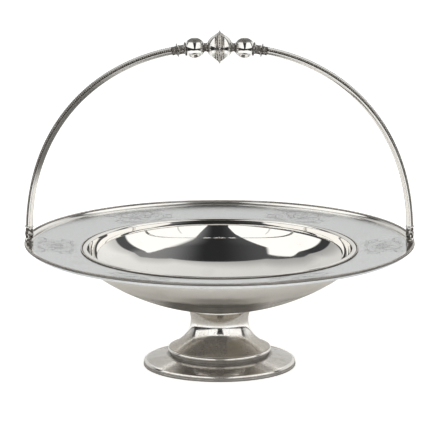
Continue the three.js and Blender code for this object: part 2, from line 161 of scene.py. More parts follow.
class PedestalSizes(bpy.types.PropertyGroup):
    height: length("Height", "From the table to the outside of the bowl's floor", 35.5)
    collar_height: length("Collar height", "Ring between bowl and stem", 1.25)
    collar_lip: length("Collar lip", "How far the ring stands out from the stem", 0.5)
    stem_wall: length("Stem wall", "Thickness of the spun stem", 1.2)
    waist_drop: length("Waist drop", "From the stem's top down to its waist", 6.8)
    waist_radius: length("Waist radius", "Narrowest place of the stem", 17.8)
    flare_radius: length("Flare radius", "Where the stem's flare ends", 31.1)
    flare_turn: angle("Flare turn", "How far the flare turns from upright", 63.5)
    flare_lip: length("Flare lip", "Upright edge at the end of the flare", 0.4)
    step_height: length("Step height", "Moulding under the flare", 2)
    step_lip: length("Step lip", "How far the moulding stands out past the flare", 0.7)
    step_width: length("Step width", "Width of the moulding", 3.2)
    step_base: length("Step base", "Height of the moulding's seat on the foot", 9.2)
    riser_height: length("Riser height", "The foot's small upstand", 1.8)
    riser_inset: length("Riser inset", "From the moulding's edge in to the upstand", 1.4)
    foot_radius: length("Foot radius", "Outer edge of the foot", 46.7)
    foot_edge_radius: length("Foot edge radius", "Rounding of the foot's edge", 1.6)
    foot_edge_height: length("Foot edge height", "Top of that rounding", 3.8)
    wire_height: length("Wire height", "Wire under the foot's edge", 1.6)
    wire_width: length("Wire width", "Width of that wire", 2.6)
    wire_lip: length("Wire lip", "How far the wire stands out past the foot", 0.25)


class HingeSizes(bpy.types.PropertyGroup):
    inset: length("Inset", "From the rim's edge in to the hinge's middle", 3.1)
    pivot_rise: length("Pivot rise", "From the rim's seat up to the pins", 6.8)
    pin_radius: length("Pin radius", "Shank of the pin", 0.9)
    pin_head_radius: length("Pin head radius", "Domed head of the pin", 1.5)
    pin_head_height: length("Pin head height", "How far the head stands out", 0.45)
    eye_radius: length("Eye radius", "Round top of the lug and round ends of the fork", 1.9)
    lug_width: length("Lug width", "Along the pin", 4.6)
    lug_depth: length("Lug depth", "From front to back", 4.8)
    tongue_width: length("Tongue width", "Middle of the hinge", 1.6)
    cheek_width: length("Cheek width", "Each side of the fork", 1.2)
    side_gap: length("Side gap", "Beside the tongue and under the pins' heads", 0.2)
    swing_gap: length("Swing gap", "Between the fork and the lug's block", 0.5)
    fork_reach: length("Fork reach", "From the pin to the top of the fork", 3.9)
    ferrule_radius: length("Ferrule radius", "Collar above the fork", 2.75)
    ferrule_height: length("Ferrule height", "Height of that collar", 1.3)


class HandleSizes(bpy.types.PropertyGroup):
    rise: length("Rise", "From the pins up to the middle of the grip", 116.4)
    fullness: ratio("Fullness", "2 is an ellipse, and more is squarer", 2.18)
    arm_width: length("Arm width", "From front to back", 7.8)
    arm_thickness: length("Arm thickness", "From the beads' ledge side to the rounded underside", 4.2)
    arm_crown: length("Arm crown", "The band between the beads is slightly convex", 0.2)
    arm_shoulder: length("Arm shoulder", "Flat side of the arm under the ledge", 0.5)
    bead_radius: length("Bead radius", "Beads along both edges of the arm", 0.65)
    bead_pitch: length("Bead pitch", "From one bead to the next", 1.3)


class GripSizes(bpy.types.PropertyGroup):
    centre_ball: length("Centre ball", "Radius of the middle ball", 7.9)
    side_ball: length("Side ball", "Radius of the outer balls", 6.3)
    ball_wall: length("Ball wall", "Sheet of the hollow balls", 1)
    ridge_radius: length("Ridge radius", "Disc between the halves of the middle ball", 10.1)
    ridge_base: length("Ridge base", "Width of the disc on the ball", 5.8)
    ridge_bead: length("Ridge bead", "Radius of the beads on the disc's crest", 0.5)
    neck_radius: length("Neck radius", "Beside the middle ball", 3)
    neck_length: length("Neck length", "Beside the middle ball", 1.9)
    ring_radius: length("Ring radius", "Ring against the outer ball", 4.2)
    ring_length: length("Ring length", "Ring against the outer ball", 1.2)
    spool_radius: length("Spool radius", "Ends of the spool", 3.1)
    spool_waist: length("Spool waist", "Middle of the spool", 2.75)
    spool_length: length("Spool length", "Along the grip", 3.4)
    flange_radius: length("Flange radius", "Thin sharp disc", 4.3)
    flange_length: length("Flange length", "Thickness of the disc at its bore", 1)
    socket_radius: length("Socket radius", "Narrow turned end of the arm", 2.75)
    socket_length: length("Socket length", "Along the grip", 2.4)
    seat_gap: length("Seat gap", "Play between the threaded pieces", 0.25)
    bore: length("Bore", "Radius of the hole round the core", 2)


class Finishes(bpy.types.PropertyGroup):
    silver: colour("Silver", "Polished plate, under most of the finishes", (0.93, 0.915, 0.89))
    pale_silver: colour("Pale silver", "Rim flat, finely rubbed", (0.76, 0.785, 0.8))
    # Its warmth near the stem is partly a painted reflection of the foot and the shaded floor
    warm_silver: colour("Warm silver", "Outside of the bowl near the stem", (0.84, 0.8, 0.74))
    toned: colour("Toned silver", "Thin brown tone", (0.42, 0.36, 0.3))
    # Dark film of most finishes: painted shade in grooves and between beads and painted reflections, partly
    # tarnish
    shade_and_tarnish: colour("Recess", "Dark tone left in grooves and between beads", (0.07, 0.06, 0.05))
    # Also the painted shade at the stem's top and the painted light streak on its flare
    film: colour("Film", "Dull brown film on the stem", (0.35, 0.3, 0.21))
    floor: colour("Floor", "Pale studio floor", (0.85, 0.85, 0.84))
    # The floor's painted shadow round the foot, which the metal mirrors
    shaded_near_floor: colour("Near floor", "The floor round the foot", (0.6, 0.58, 0.54))


class StageSizes(bpy.types.PropertyGroup):
    distance: length("Distance", "From the camera to the dish", 3000)
    elevation: angle("Elevation", "Camera above the horizon", 12.1)
    aim_across: length("Aim across", "Left of the dish's middle", 2.2)
    aim_height: length("Aim height", "Height of the picture's middle", 93.5)
    frame_width: length("Frame width", "Width of the picture at the dish", 265.36)
    floor_size: length("Floor size", "Side of the square floor", 12000)
    table_width: length("Table width", "From the dish to the table's left and right edges", 455)
    table_depth: length("Table depth", "From the dish to the table's front and back edges", 700)
    table_front_left: length("Table front, left", "How far the table reaches to the front on the left", 560)
    # Within this radius the floor's painted shadow is full; it fades out to the far floor
    shaded_near_floor: length("Near floor", "Radius of the darker floor round the foot", 80)
    far_floor: length("Far floor", "Radius where the floor is as pale as it gets", 270)


# Outlines, turned pieces and swept pieces


class Outline:
    """A chain of edges in the XZ plane, drawn with points and arcs, to be turned, swept or extruded."""

    def __init__(self, mesh, across, up):
        self.mesh = mesh
        self.verts = [mesh.verts.new((across, 0, up))]

    def to(self, across, up):
        vert = self.mesh.verts.new((across, 0, up))
        self.mesh.edges.new((self.verts[-1], vert))
        self.verts.append(vert)
        return self

    def arc(self, across, up, turn, steps):
        """Turns the last point about a centre, anticlockwise where the angle is positive."""
        start = self.verts[-1]
        before = set(self.mesh.verts)
        bmesh.ops.spin(
            self.mesh, geom=[start], cent=(across, 0, up), axis=(0, -1, 0), angle=turn, steps=steps
        )
        centre = Vector((across, 0, up))
        new = [vert for vert in self.mesh.verts if vert not in before]
        first = (start.co - centre).normalized()
        new.sort(key=lambda vert: first.angle((vert.co - centre).normalized(), 0))
        self.verts.extend(new)
        return self

    def both_ends(self, points):
        """Draws points at negative heights, and then the same ones in reverse at positive heights."""
        for across, up in points:
            self.to(across, -up)
        for across, up in reversed(points):
            self.to(across, up)

    def close(self):
        self.mesh.edges.new((self.verts[-1], self.verts[0]))

    def soften(self, verts, radius, segments=3):
        """Rounds some corners of the closed chain."""
        soften(self.mesh, verts, radius, segments, "VERTICES")


def everything(mesh):
    return list(mesh.verts) + list(mesh.edges) + list(mesh.faces)


def picked(geometry, kind):
    """The parts of one kind in what an operator gives back."""
    return [item for item in geometry if isinstance(item, kind)]


def soften(mesh, geometry, radius, segments=3, affect="EDGES"):
    """Rounds edges, or the corners of an outline."""
    bmesh.ops.bevel(
        mesh,
        geom=geometry,
        offset=radius,
        offset_type="OFFSET",
        segments=segments,
        profile=0.5,
        affect=affect,
        clamp_overlap=affect == "EDGES",
        material=-1,
    )


def edges_of(verts):
    """The edges at some verts, each once."""
    return list({edge for vert in verts for edge in vert.link_edges})


def turn_round(mesh, steps=TURNED_STEPS):
    """Turns all edges in the mesh about the Z axis into a closed skin."""
    bmesh.ops.spin(
        mesh, geom=everything(mesh), cent=(0, 0, 0), axis=(0, 0, 1), angle=FULL, steps=steps, use_merge=True
    )
    bmesh.ops.remove_doubles(mesh, verts=mesh.verts, dist=MERGE)
    bmesh.ops.recalc_face_normals(mesh, faces=mesh.faces)


def repeat_round(mesh, number, span):
    """Sets copies of all that is in the mesh about the Z axis, the last one a span on from the first."""
    bmesh.ops.spin(
        mesh,
        geom=everything(mesh),
        cent=(0, 0, 0),
        axis=(0, 0, 1),
        angle=span,
        steps=number - 1,
        use_duplicate=True,
    )


def fill_ends(mesh):
    open_edges = [edge for edge in mesh.edges if edge.is_boundary]
    bmesh.ops.holes_fill(mesh, edges=open_edges, sides=0)


def cap_ends(mesh):
    fill_ends(mesh)
    bmesh.ops.recalc_face_normals(mesh, faces=mesh.faces)


def move(mesh, matrix, verts=None):
    bmesh.ops.transform(mesh, matrix=matrix, verts=verts or mesh.verts)


def along_x():
    """Lays a piece that was turned about Z along X."""
    return Matrix.Rotation(math.pi / 2, 4, "Y")


def edges_along(mesh, direction, low=-math.inf, high=math.inf):
    """The straight edges along a direction that start between two heights."""
    axis = Vector(direction)
    lined = []
    for edge in mesh.edges:
        run = (edge.verts[1].co - edge.verts[0].co).normalized()
        if abs(run.dot(axis)) > 0.99 and low < edge.verts[0].co.z < high:
            lined.append(edge)
    return lined


def drawn_out(mesh, faces):
    """Extrudes faces and takes away the old ones. The new verts and faces still lie in the old place."""
    drawn = bmesh.ops.extrude_face_region(mesh, geom=faces)["geom"]
    bmesh.ops.delete(mesh, geom=faces, context="FACES_ONLY")
    return picked(drawn, bmesh.types.BMVert), picked(drawn, bmesh.types.BMFace)


def bead(mesh, radius, place):
    bmesh.ops.create_uvsphere(
        mesh, u_segments=8, v_segments=6, radius=radius, matrix=Matrix.Translation(place)
    )


def bead_core(mesh, radius, matrix):
    """Section of the thin wire that joins beads of a radius."""
    return bmesh.ops.create_circle(mesh, segments=6, radius=CORE_SHARE * radius, matrix=matrix)["verts"]


def bead_ring(ring_radius, height, radius, pitch, start=0.0, end=FULL):
    """Beads on a thin core, about the Z axis from one angle to another."""
    mesh = bmesh.new()
    span = end - start
    full = math.isclose(span, FULL)
    number = round(span * ring_radius / pitch)
    gaps = number if full else number - 1
    bead(mesh, radius, (ring_radius, 0, height))
    repeat_round(mesh, number, span * (number - 1) / gaps)
    beads = set(mesh.faces)
    core_place = Matrix.Translation((ring_radius, 0, height)) @ Matrix.Rotation(math.pi / 2, 4, "X")
    core = bead_core(mesh, radius, core_place)
    bmesh.ops.spin(
        mesh,
        geom=core + edges_of(core),
        cent=(0, 0, 0),
        axis=(0, 0, 1),
        angle=span,
        steps=round(TURNED_STEPS * span / FULL),
        use_merge=full,
    )
    if not full:
        fill_ends(mesh)
    second_finish(face for face in mesh.faces if face not in beads)
    move(mesh, Matrix.Rotation(start, 4, "Z"))
    return mesh


def beading_coats():
    return beading_finish(), beading_core_finish()


def sweep(mesh, ring, stations):
    """Draws a closed ring of verts through a row of stations and caps both ends."""
    edges = edges_of(ring)
    move(mesh, stations[0], ring)
    for last, station in zip(stations, stations[1:]):
        drawn = bmesh.ops.extrude_edge_only(mesh, edges=edges)["geom"]
        verts = picked(drawn, bmesh.types.BMVert)
        found = set(verts)
        edges = [edge for edge in picked(drawn, bmesh.types.BMEdge) if found.issuperset(edge.verts)]
        move(mesh, station @ last.inverted(), verts)
    cap_ends(mesh)


def mirrored(mesh):
    """The same piece on the other side of the dish."""
    twin = mesh.copy()
    bmesh.ops.scale(twin, vec=(-1, 1, 1), verts=twin.verts)
    bmesh.ops.reverse_faces(twin, faces=twin.faces)
    return twin


def finish_piece(mesh, name, body, nodes, slot, *materials):
    """Makes an object of a finished mesh. It rides on a body and stands for the solid model's nodes."""
    if not mesh.faces:
        raise RuntimeError(f"{name} has no faces")
    if any(len(edge.link_faces) != 2 for edge in mesh.edges):
        raise RuntimeError(f"{name} has open or doubled edges")
    data = bpy.data.meshes.new(name)
    mesh.to_mesh(data)
    mesh.free()
    data.shade_smooth()
    data.set_sharp_from_angle(angle=SMOOTH_ANGLE)
    for material in materials:
        data.materials.append(material)
    piece = bpy.data.objects.new(name, data)
    bpy.context.scene.collection.objects.link(piece)
    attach(piece, body)
    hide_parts(*nodes)


def finish_pair(mesh, name, body, node, slot, *materials):
    """The right piece and its mirrored twin on the left."""
    finish_piece(mirrored(mesh), f"{name}_left", body, [f"{node}_left"], slot, *materials)
    finish_piece(mesh, f"{name}_right", body, [f"{node}_right"], slot, *materials)


def second_finish(faces):
    for face in faces:
        face.material_index = 1


# Heights and curves that follow from the sizes


def dish_sizes():
    scene = bpy.context.scene
    return scene.dish_rim, scene.dish_well, scene.dish_pedestal


def flat_underside():
    _, well, pedestal = dish_sizes()
    return pedestal.height + well.depth


def mouth_seat():
    return flat_underside() + dish_sizes()[1].sheet


def rim_seat():
    return mouth_seat() + dish_sizes()[0].flat_rise


def flat_edges():
    """Radii between which the flat climbs from the beads at the mouth to the border."""
    rim, well, _ = dish_sizes()
    return well.mouth_radius + well.moulding_width + 2 * well.bead_radius, rim.radius - rim.border_width


def flat_height(radius):
    """Height of the flat's top at a radius."""
    start, end = flat_edges()
    return mouth_seat() + dish_sizes()[0].flat_rise * (radius - start) / (end - start)


def floor_radius():
    """Radius of the outside of the well's shallow floor."""
    _, well, _ = dish_sizes()
    centre = well.mouth_radius + well.sheet - well.shoulder_radius
    level = well.depth - well.shoulder_radius
    return (centre**2 + well.depth**2 - well.shoulder_radius**2) / (2 * level)


def floor_height(radius):
    """Height of the outside of the bowl's floor at a radius."""
    return dish_sizes()[2].height + floor_radius() - math.sqrt(floor_radius() ** 2 - radius**2)


def hinge_span():
    return bpy.context.scene.dish_rim.radius - bpy.context.scene.dish_hinge.inset


def pivot_height():
    return rim_seat() + bpy.context.scene.dish_hinge.pivot_rise


class StemCurve:
    """The stem's outside or inside: one sweep of an ellipse, upright at the waist."""

    def __init__(self, inset):
        _, _, sizes = dish_sizes()
        collar_seat = floor_height(sizes.waist_radius - sizes.stem_wall)
        self.top = collar_seat - sizes.collar_height
        self.waist_height = self.top - sizes.waist_drop
        self.end = sizes.step_base + sizes.step_height + sizes.flare_lip
        reach = (sizes.flare_radius - sizes.waist_radius) / (1 - math.cos(sizes.flare_turn))
        drop = (self.waist_height - self.end) / math.sin(sizes.flare_turn)
        self.centre = sizes.waist_radius + reach
        self.reach = reach + inset
        self.drop = drop + inset

    def turn(self, height):
        return math.asin((self.waist_height - height) / self.drop)

    def place(self, turn):
        across = self.centre - self.reach * math.cos(turn)
        return across, self.waist_height - self.drop * math.sin(turn)

    def places(self, top, bottom, steps):
        start = self.turn(top)
        end = self.turn(bottom)
        return [self.place(start + (end - start) * i / steps) for i in range(steps + 1)]


class Arch:
    """The handle's centre line, a superellipse from pin to pin over the grip."""

    def __init__(self):
        sizes = bpy.context.scene.dish_handle
        self.span = hinge_span()
        self.rise = sizes.rise
        self.foot = pivot_height()
        self.fullness = sizes.fullness

    def angle_at_rise(self, rise):
        return math.asin((rise / self.rise) ** (self.fullness / 2))

    def angle_at_x(self, x):
        return math.acos((x / self.span) ** (self.fullness / 2))

    def point(self, angle):
        power = 2 / self.fullness
        x = self.span * abs(math.cos(angle)) ** power
        return Vector((x, 0, self.foot + self.rise * math.sin(angle) ** power))

    def tilt(self, point):
        """How far the arch has turned down at a point, from level at the grip."""
        fall = (point.z - self.foot) / self.rise
        if fall <= 0:
            return math.pi / 2
        steepness = (point.x / self.span / fall) ** (self.fullness - 1)
        return math.atan(self.rise / self.span * steepness)

    def station(self, angle):
        """Place and turn of a section: X runs on down the arch, Y to the back and Z outwards."""
        point = self.point(angle)
        return Matrix.Translation(point) @ Matrix.Rotation(self.tilt(point), 4, "Y")

    def station_at_x(self, x):
        return self.station(self.angle_at_x(x))


# Shader maths


class Signal:
    """A shader socket whose arithmetic adds Math nodes."""

    def __init__(self, nodes, socket):
        self.nodes = nodes
        self.socket = socket

    def maths(self, operation, *others):
        return self.nodes.maths(operation, self, *others)

    def __add__(self, other):
        return self.maths("ADD", other)

    def __sub__(self, other):
        return self.maths("SUBTRACT", other)

    def __mul__(self, other):
        return self.maths("MULTIPLY", other)

    def __truediv__(self, other):
        return self.maths("DIVIDE", other)

    def __rsub__(self, other):
        return self.nodes.maths("SUBTRACT", other, self)

    def __neg__(self):
        return self * -1

    def __abs__(self):
        return self.maths("ABSOLUTE")

    __radd__ = __add__
    __rmul__ = __mul__


class NodeTree:
    """Adds nodes to a material's or a world's tree."""

    def __init__(self, tree):
        self.tree = tree
        tree.nodes.clear()

    def add(self, kind, settings=None, inputs=None, output=0):
        """One node: its settings come first, then the values or links of its sockets."""
        node = self.tree.nodes.new(kind)
        for name, value in (settings or {}).items():
            setattr(node, name, value)
        for name, value in (inputs or {}).items():
            if isinstance(value, Signal):
                self.tree.links.new(value.socket, node.inputs[name])
            else:
                node.inputs[name].default_value = value
        return Signal(self, node.outputs[output]) if node.outputs else None

    def maths(self, operation, *values):
        return self.add("ShaderNodeMath", {"operation": operation}, dict(enumerate(values)))

    def ease(self, value, low, high):
        """0 below the low value, 1 above the high one and a smooth step between them."""
        inputs = {"Value": value, "From Min": low, "From Max": high}
        return self.add("ShaderNodeMapRange", {"interpolation_type": "SMOOTHSTEP"}, inputs)

    def between(self, value, start, full, fade, end):
        """Rises from 0 at the start to 1, keeps it until the fade, and is 0 again at the end."""
        return self.ease(value, start, full) * self.ease(value, end, fade)

    def greater(self, first, second):
        return self.maths("MAXIMUM", first, second)

    def ramp(self, value, low, high, low_result, high_result):
        inputs = {"Value": value, "From Min": low, "From Max": high}
        inputs.update({"To Min": low_result, "To Max": high_result})
        return self.add("ShaderNodeMapRange", None, inputs)

    def mix(self, share, first, second):
        """Mixes two colours."""
        inputs = {0: share, 6: first, 7: second}
        return self.add("ShaderNodeMix", {"data_type": "RGBA"}, inputs, output=2)

    def noise(self, vector, scale, detail, roughness):
        inputs = {"Vector": vector, "Scale": scale, "Detail": detail, "Roughness": roughness}
        return self.add("ShaderNodeTexNoise", None, inputs)

    def stretched(self, vector, scale):
        """A pattern's coordinates, scaled differently along each axis."""
        return self.add("ShaderNodeMapping", None, {"Vector": vector, "Scale": scale})

    def split(self, vector):
        node = self.add("ShaderNodeSeparateXYZ", None, {"Vector": vector}).socket.node
        return [Signal(self, socket) for socket in node.outputs]


def opaque(rgb):
    return (*rgb, 1)


class Finish(NodeTree):
    """A metal finish on Object coordinates, which are metres in the dish's own frame."""

    def __init__(self, name):
        self.material = bpy.data.materials.new(name)
        self.material.use_nodes = True
        super().__init__(self.material.node_tree)
        self.place = self.add("ShaderNodeTexCoord", output=3)
        self.x, self.y, self.z = self.split(self.place)
        self.radius = self.maths("SQRT", self.x * self.x + self.y * self.y)

    def polish_lines(self):
        """Round and round marks of the spinning lathe and the polishing mop."""
        flat = self.add("ShaderNodeCombineXYZ", None, {"X": self.radius, "Z": self.z})
        return self.noise(flat, 2600, 4, 0.65)

    def rubbed(self, scale):
        return self.noise(self.place, scale, 5, 0.6)

    def spots(self, scale, low, high):
        """Irregular spots that fade in between two levels of the rubbed noise."""
        return self.ease(self.rubbed(scale), low, high)

    def toned(self, share, base=None):
        """Polished silver, or another base, with a share of the thin brown tone."""
        return self.mix(share, base or opaque(finishes().silver), opaque(finishes().toned))

    def scratches(self):
        """Short fine scratches that run in two directions."""
        first = self.noise(self.stretched(self.place, (9000, 420, 900)), 1, 2, 0.5)
        second = self.noise(self.stretched(self.place, (500, 8000, 700)), 1, 2, 0.5)
        return self.ease(first, 0.66, 0.74) + self.ease(second, 0.67, 0.75)

    def near(self, value, edge, places):
        """Eases between two places that are measured from an edge."""
        return self.ease(value, *(edge + place for place in places))

    def shade_and_tarnish(self, reach, low, high):
        """1 in a groove or a corner and 0 on open surface, from ambient occlusion: where painted shade goes,
        with some tarnish.
        """
        inputs = {"Distance": reach}
        open_sky = self.add("ShaderNodeAmbientOcclusion", {"samples": 6}, inputs, output=1)
        return self.ease(open_sky, high, low)

    def metal(self, base, roughness, height=None, depth=0.0, tarnish_and_painted_light=0.0, film=None):
        """The finished metal, where a dark or a brown film hides a share of it: tarnish, and painted shade
        and reflections.

        A height in units of the depth, in metres, tips the surface a little.
        """
        filmed_base = self.mix(tarnish_and_painted_light, base, opaque(film or finishes().shade_and_tarnish))
        inputs = {"Base Color": filmed_base, "Roughness": roughness, "Specular IOR Level": 0.0}
        inputs["Metallic"] = 1 - tarnish_and_painted_light
        if height is not None:
            bump = {"Height": height, "Strength": 1.0, "Distance": depth}
            inputs["Normal"] = self.add("ShaderNodeBump", None, bump)
        surface = self.add("ShaderNodeBsdfPrincipled", None, inputs)
        self.add("ShaderNodeOutputMaterial", None, {"Surface": surface})
        return self.material


def finishes():
    return bpy.context.scene.dish_finishes


def made_once(make):
    """Keeps a finish by its name, so that all its pieces share it."""

    def fetch():
        name = make.__name__
        return bpy.data.materials.get(name) or make(Finish(name))

    return fetch


# How deep the marks of the lathe are on spun sheet, those of polishing on small pieces, and of hands
SPUN_DEPTH = 0.006 * MM
POLISH_DEPTH = 0.004 * MM
HANDLED_DEPTH = 0.003 * MM

# Where tones, painted shade and painted reflections lie: each starts at the first place and is full from the
# second. Where there are two more, it fades from the third to the fourth. Marks that differ from left to
# right are painted reflections.
PANEL_GROUND = (86 * MM, 92 * MM, 111 * MM, 115 * MM)
NEAR_STEM = (75 * MM, 22 * MM)
REFLECTED_SHADOW_BAND = (70 * MM, 64 * MM)
REFLECTED_SHADOW_LEFT_END = (-26 * MM, -42 * MM)
REFLECTED_SHADOW_RIGHT_END = (16 * MM, 34 * MM)
SATIN_ZONE = (60 * MM, 68 * MM, 78 * MM, 86 * MM)
WIRE_REFLECTION_FRONT_AND_BACK = (45 * MM, 12 * MM)
FLARE_OVER_STEP = (14 * MM, 8 * MM)
FLARE_LIGHT_STREAK = (3 * MM, 7 * MM, 11 * MM, 17 * MM)
NECK_SHADE_OVER_WAIST = (0.8 * MM, 3 * MM)
NECK_SHADE_CURVE = 40 * MM
LEFT_ARM_REFLECTION = (0, -10 * MM)
ARM_REFLECTION_OVER_PINS = (28 * MM, 46 * MM)
ARM_REFLECTION_FADE_OVER_PINS = (88 * MM, 106 * MM)
OUTER_BALLS = (8 * MM, 9 * MM)
CEILING_REFLECTION_SHARES = (0.5, 0.64, 0.84, 0.94)
# The same, measured from an edge of the piece
RUBBED_FLAT = (0, 0.3 * MM)
BORDER_OUTER_SHADE = (-1.1 * MM, -0.9 * MM)
FOOT_CROWN = (-0.5 * MM, 0.3 * MM)
FOOT_SIDE_SHADE = (0.3 * MM, -0.2 * MM)
STEP_SHADOW = (3 * MM, 0.3 * MM)

# Recesses, with painted shade and some tarnish: how far away their walls may be, and the open share of the
# sky up to which the dark film is full and from which there is none
WIRE_RECESS = (1.2 * MM, 0.35, 0.9)
BEAD_RECESS = (1.4 * MM, 0.45, 0.98)
ARM_BEAD_RECESS = (1.4 * MM, 0.5, 1.0)
PEDESTAL_RECESS = (3.5 * MM, 0.3, 0.9)
HINGE_RECESS = (2 * MM, 0.4, 0.92)
TURNING_RECESS = (4 * MM, 0.6, 0.96)
ARM_RECESS = (2 * MM, 0.4, 0.9)
BALL_RECESS = (8 * MM, 0.55, 0.97)


@made_once
def bowl_inside_finish(finish):
    """The mirror-bright well and the finely rubbed flat round it, duller on the panels' ground."""
    _, well, _ = dish_sizes()
    edge = well.mouth_radius + 0.5 * well.moulding_width
    on_flat = finish.near(finish.radius, edge, RUBBED_FLAT)
    base = finish.mix(on_flat, opaque(finishes().silver), opaque(finishes().pale_silver))
    blotch = finish.spots(60, 0.52, 0.75)
    specks = finish.ease(finish.noise(finish.place, 900, 2, 0.4), 0.7, 0.78)
    worn = finish.toned(blotch * 0.1 + specks * 0.3, base)
    grain = finish.rubbed(1500)
    roughness = finish.ramp(on_flat, 0, 1, 0.04, 0.2) + (grain - 0.5) * 0.05 + finish.scratches() * 0.02
    height = finish.polish_lines() * 0.3 + grain * finish.ramp(on_flat, 0, 1, 0.05, 2.5)
    turn = finish.maths("ARCTAN2", finish.y, finish.x)
    panels = finish.maths("COSINE", turn * bpy.context.scene.dish_chasing.repeats)
    ground = finish.ease(panels, 0.35, 0.8) * finish.between(finish.radius, *PANEL_GROUND)
    matted = finish.spots(1300, 0.4, 0.62) * on_flat * (ground * 0.22 + 0.07)
    return finish.metal(worn, roughness, height, SPUN_DEPTH, matted)


@made_once
def bowl_outside_finish(finish):
    """The outside of the bowl: turning lines, a brown tone round the stem that is partly a painted
    reflection of the foot and the shaded floor, a dark band of painted reflection of the shadow under the
    foot, and a satin band.
    """
    # Warm tone towards the stem, partly a painted reflection of the foot and the shaded floor
    near_stem = finish.ease(finish.radius, *NEAR_STEM)
    cloud = finish.spots(70, 0.4, 0.8)
    base = finish.mix(near_stem, opaque(finishes().silver), opaque(finishes().warm_silver))
    toned = finish.toned(cloud * 0.12 + near_stem * 0.2, base)
    # The dark band is a painted reflection of the shadow under the foot, weaker towards its ends
    band = finish.ease(finish.radius + (cloud - 0.5) * 3 * MM, *REFLECTED_SHADOW_BAND)
    ends = finish.ease(finish.x, *REFLECTED_SHADOW_LEFT_END) + finish.ease(finish.x, *REFLECTED_SHADOW_RIGHT_END)
    band = band * (1 - ends * 0.65)
    satin = finish.between(finish.radius, *SATIN_ZONE)
    roughness = 0.13 + cloud * 0.06 + band * 0.08 + satin * 0.2
    return finish.metal(toned, roughness, finish.polish_lines(), SPUN_DEPTH, band * 0.8)


@made_once
def chasing_finish(finish):
    """The chased strokes, greyer than the flat that they lie on."""
    tone = finish.spots(1100, 0.35, 0.65)
    silver = opaque(finishes().pale_silver)
    return finish.metal(silver, 0.2 + tone * 0.1, finish.rubbed(2500), 0.01 * MM, tone * 0.5 + 0.3)


def polished_wire(finish, stain_and_painted_light):
    """Bright plate with faint spots of tone, under a dark film of painted shade and some tarnish."""
    base = finish.toned(finish.spots(900, 0.5, 0.8) * 0.25)
    roughness = 0.09 + finish.rubbed(2500) * 0.08
    return finish.metal(base, roughness, finish.polish_lines(), POLISH_DEPTH, stain_and_painted_light)


@made_once
def bright_wire_finish(finish):
    """Plain mouldings and strips, bright on the crowns, with painted shade in the corners, partly tarnish.
    """
    return polished_wire(finish, finish.shade_and_tarnish(*WIRE_RECESS) * 0.85)


@made_once
def border_finish(finish):
    """The border strip: a bright hollow, and painted shade on its outer edge under the beads."""
    rim, _, _ = dish_sizes()
    # Painted shade on the outer edge under the beads, with painted shade and some tarnish in the corners
    outer = finish.near(finish.radius, rim.radius, BORDER_OUTER_SHADE)
    crest = rim_seat() + rim.border_rise
    low = finish.ease(finish.z, crest - 0.4 * rim.border_edge, crest - 0.7 * rim.border_edge)
    shade = finish.greater(outer * (0.45 + low * 0.55), finish.shade_and_tarnish(*WIRE_RECESS))
    return polished_wire(finish, shade * 0.88)


@made_once
def mouth_wire_finish(finish):
    """The half-round wire, with painted shade where it meets the sheet on either side, deepest at the front
    and back, where it is a painted reflection too.
    """
    _, well, _ = dish_sizes()
    seat = mouth_seat()
    # Painted shade at the wire's feet, deepest at the front and back, where it is a painted reflection too
    low = finish.ease(finish.z, seat + 0.35 * well.moulding_height, seat + 0.1 * well.moulding_height)
    middle = finish.ease(abs(finish.x), *WIRE_REFLECTION_FRONT_AND_BACK)
    stain_and_painted_light = low * (middle * 0.5 + 0.45)
    silver = opaque(finishes().silver)
    return finish.metal(silver, 0.06 + low * 0.15, finish.polish_lines(), POLISH_DEPTH, stain_and_painted_light)


def bead_metal(finish, tone, least, stain_and_painted_light):
    """Beads with spots of tone, and everywhere a least share of it."""
    return finish.metal(finish.toned(tone * 0.5 + least), 0.14 + tone * 0.1, tarnish_and_painted_light=stain_and_painted_light)


@made_once
def beading_finish(finish):
    """Beads, toned, with painted shade towards their roots, partly tarnish."""
    tone = finish.spots(1400, 0.38, 0.62)
    return bead_metal(finish, tone, 0.1, finish.shade_and_tarnish(*BEAD_RECESS) * 0.9)


@made_once
def arm_beading_finish(finish):
    """The arms' beads, painted nearly black with shade but for their tips, with spots of tone."""
    tone = finish.spots(1400, 0.38, 0.62)
    # Painted shade over the whole bead, deepest at its root, with spots of tone
    stain_and_painted_light = finish.greater(tone * 0.3 + 0.4, finish.shade_and_tarnish(*ARM_BEAD_RECESS) * 0.95)
    return bead_metal(finish, tone, 0.2, stain_and_painted_light)


@made_once
def beading_core_finish(finish):
    """The wire between the beads, nearly black with painted shade between the beads, partly tarnish."""
    tone = finish.spots(1200, 0.4, 0.7)
    return finish.metal(opaque(finishes().toned), 0.4 + tone * 0.1, tarnish_and_painted_light=0.9 - tone * 0.2)


def spun_pedestal(finish, tone, roughness, tarnish_and_painted_light, film):
    """Turning lines, soft toning, fine specks and painted shade in the corners on the pedestal's spun
    pieces.
    """
    specks = finish.ease(finish.noise(finish.place, 1500, 2, 0.4), 0.6, 0.72)
    cloud = finish.spots(120, 0.35, 0.75)
    base = finish.toned(cloud * 0.25 + tone)
    grain = finish.spots(1100, 0.35, 0.65)
    # Painted shade in the corners, partly tarnish
    corners = finish.shade_and_tarnish(*PEDESTAL_RECESS) * 0.8
    stain_and_painted_light = finish.greater(specks * 0.3 + tarnish_and_painted_light * (grain * 0.6 + 0.7), corners)
    height = finish.polish_lines() + specks + grain * tarnish_and_painted_light
    return finish.metal(base, roughness + cloud * 0.08 + specks * 0.1, height, SPUN_DEPTH, stain_and_painted_light, film)


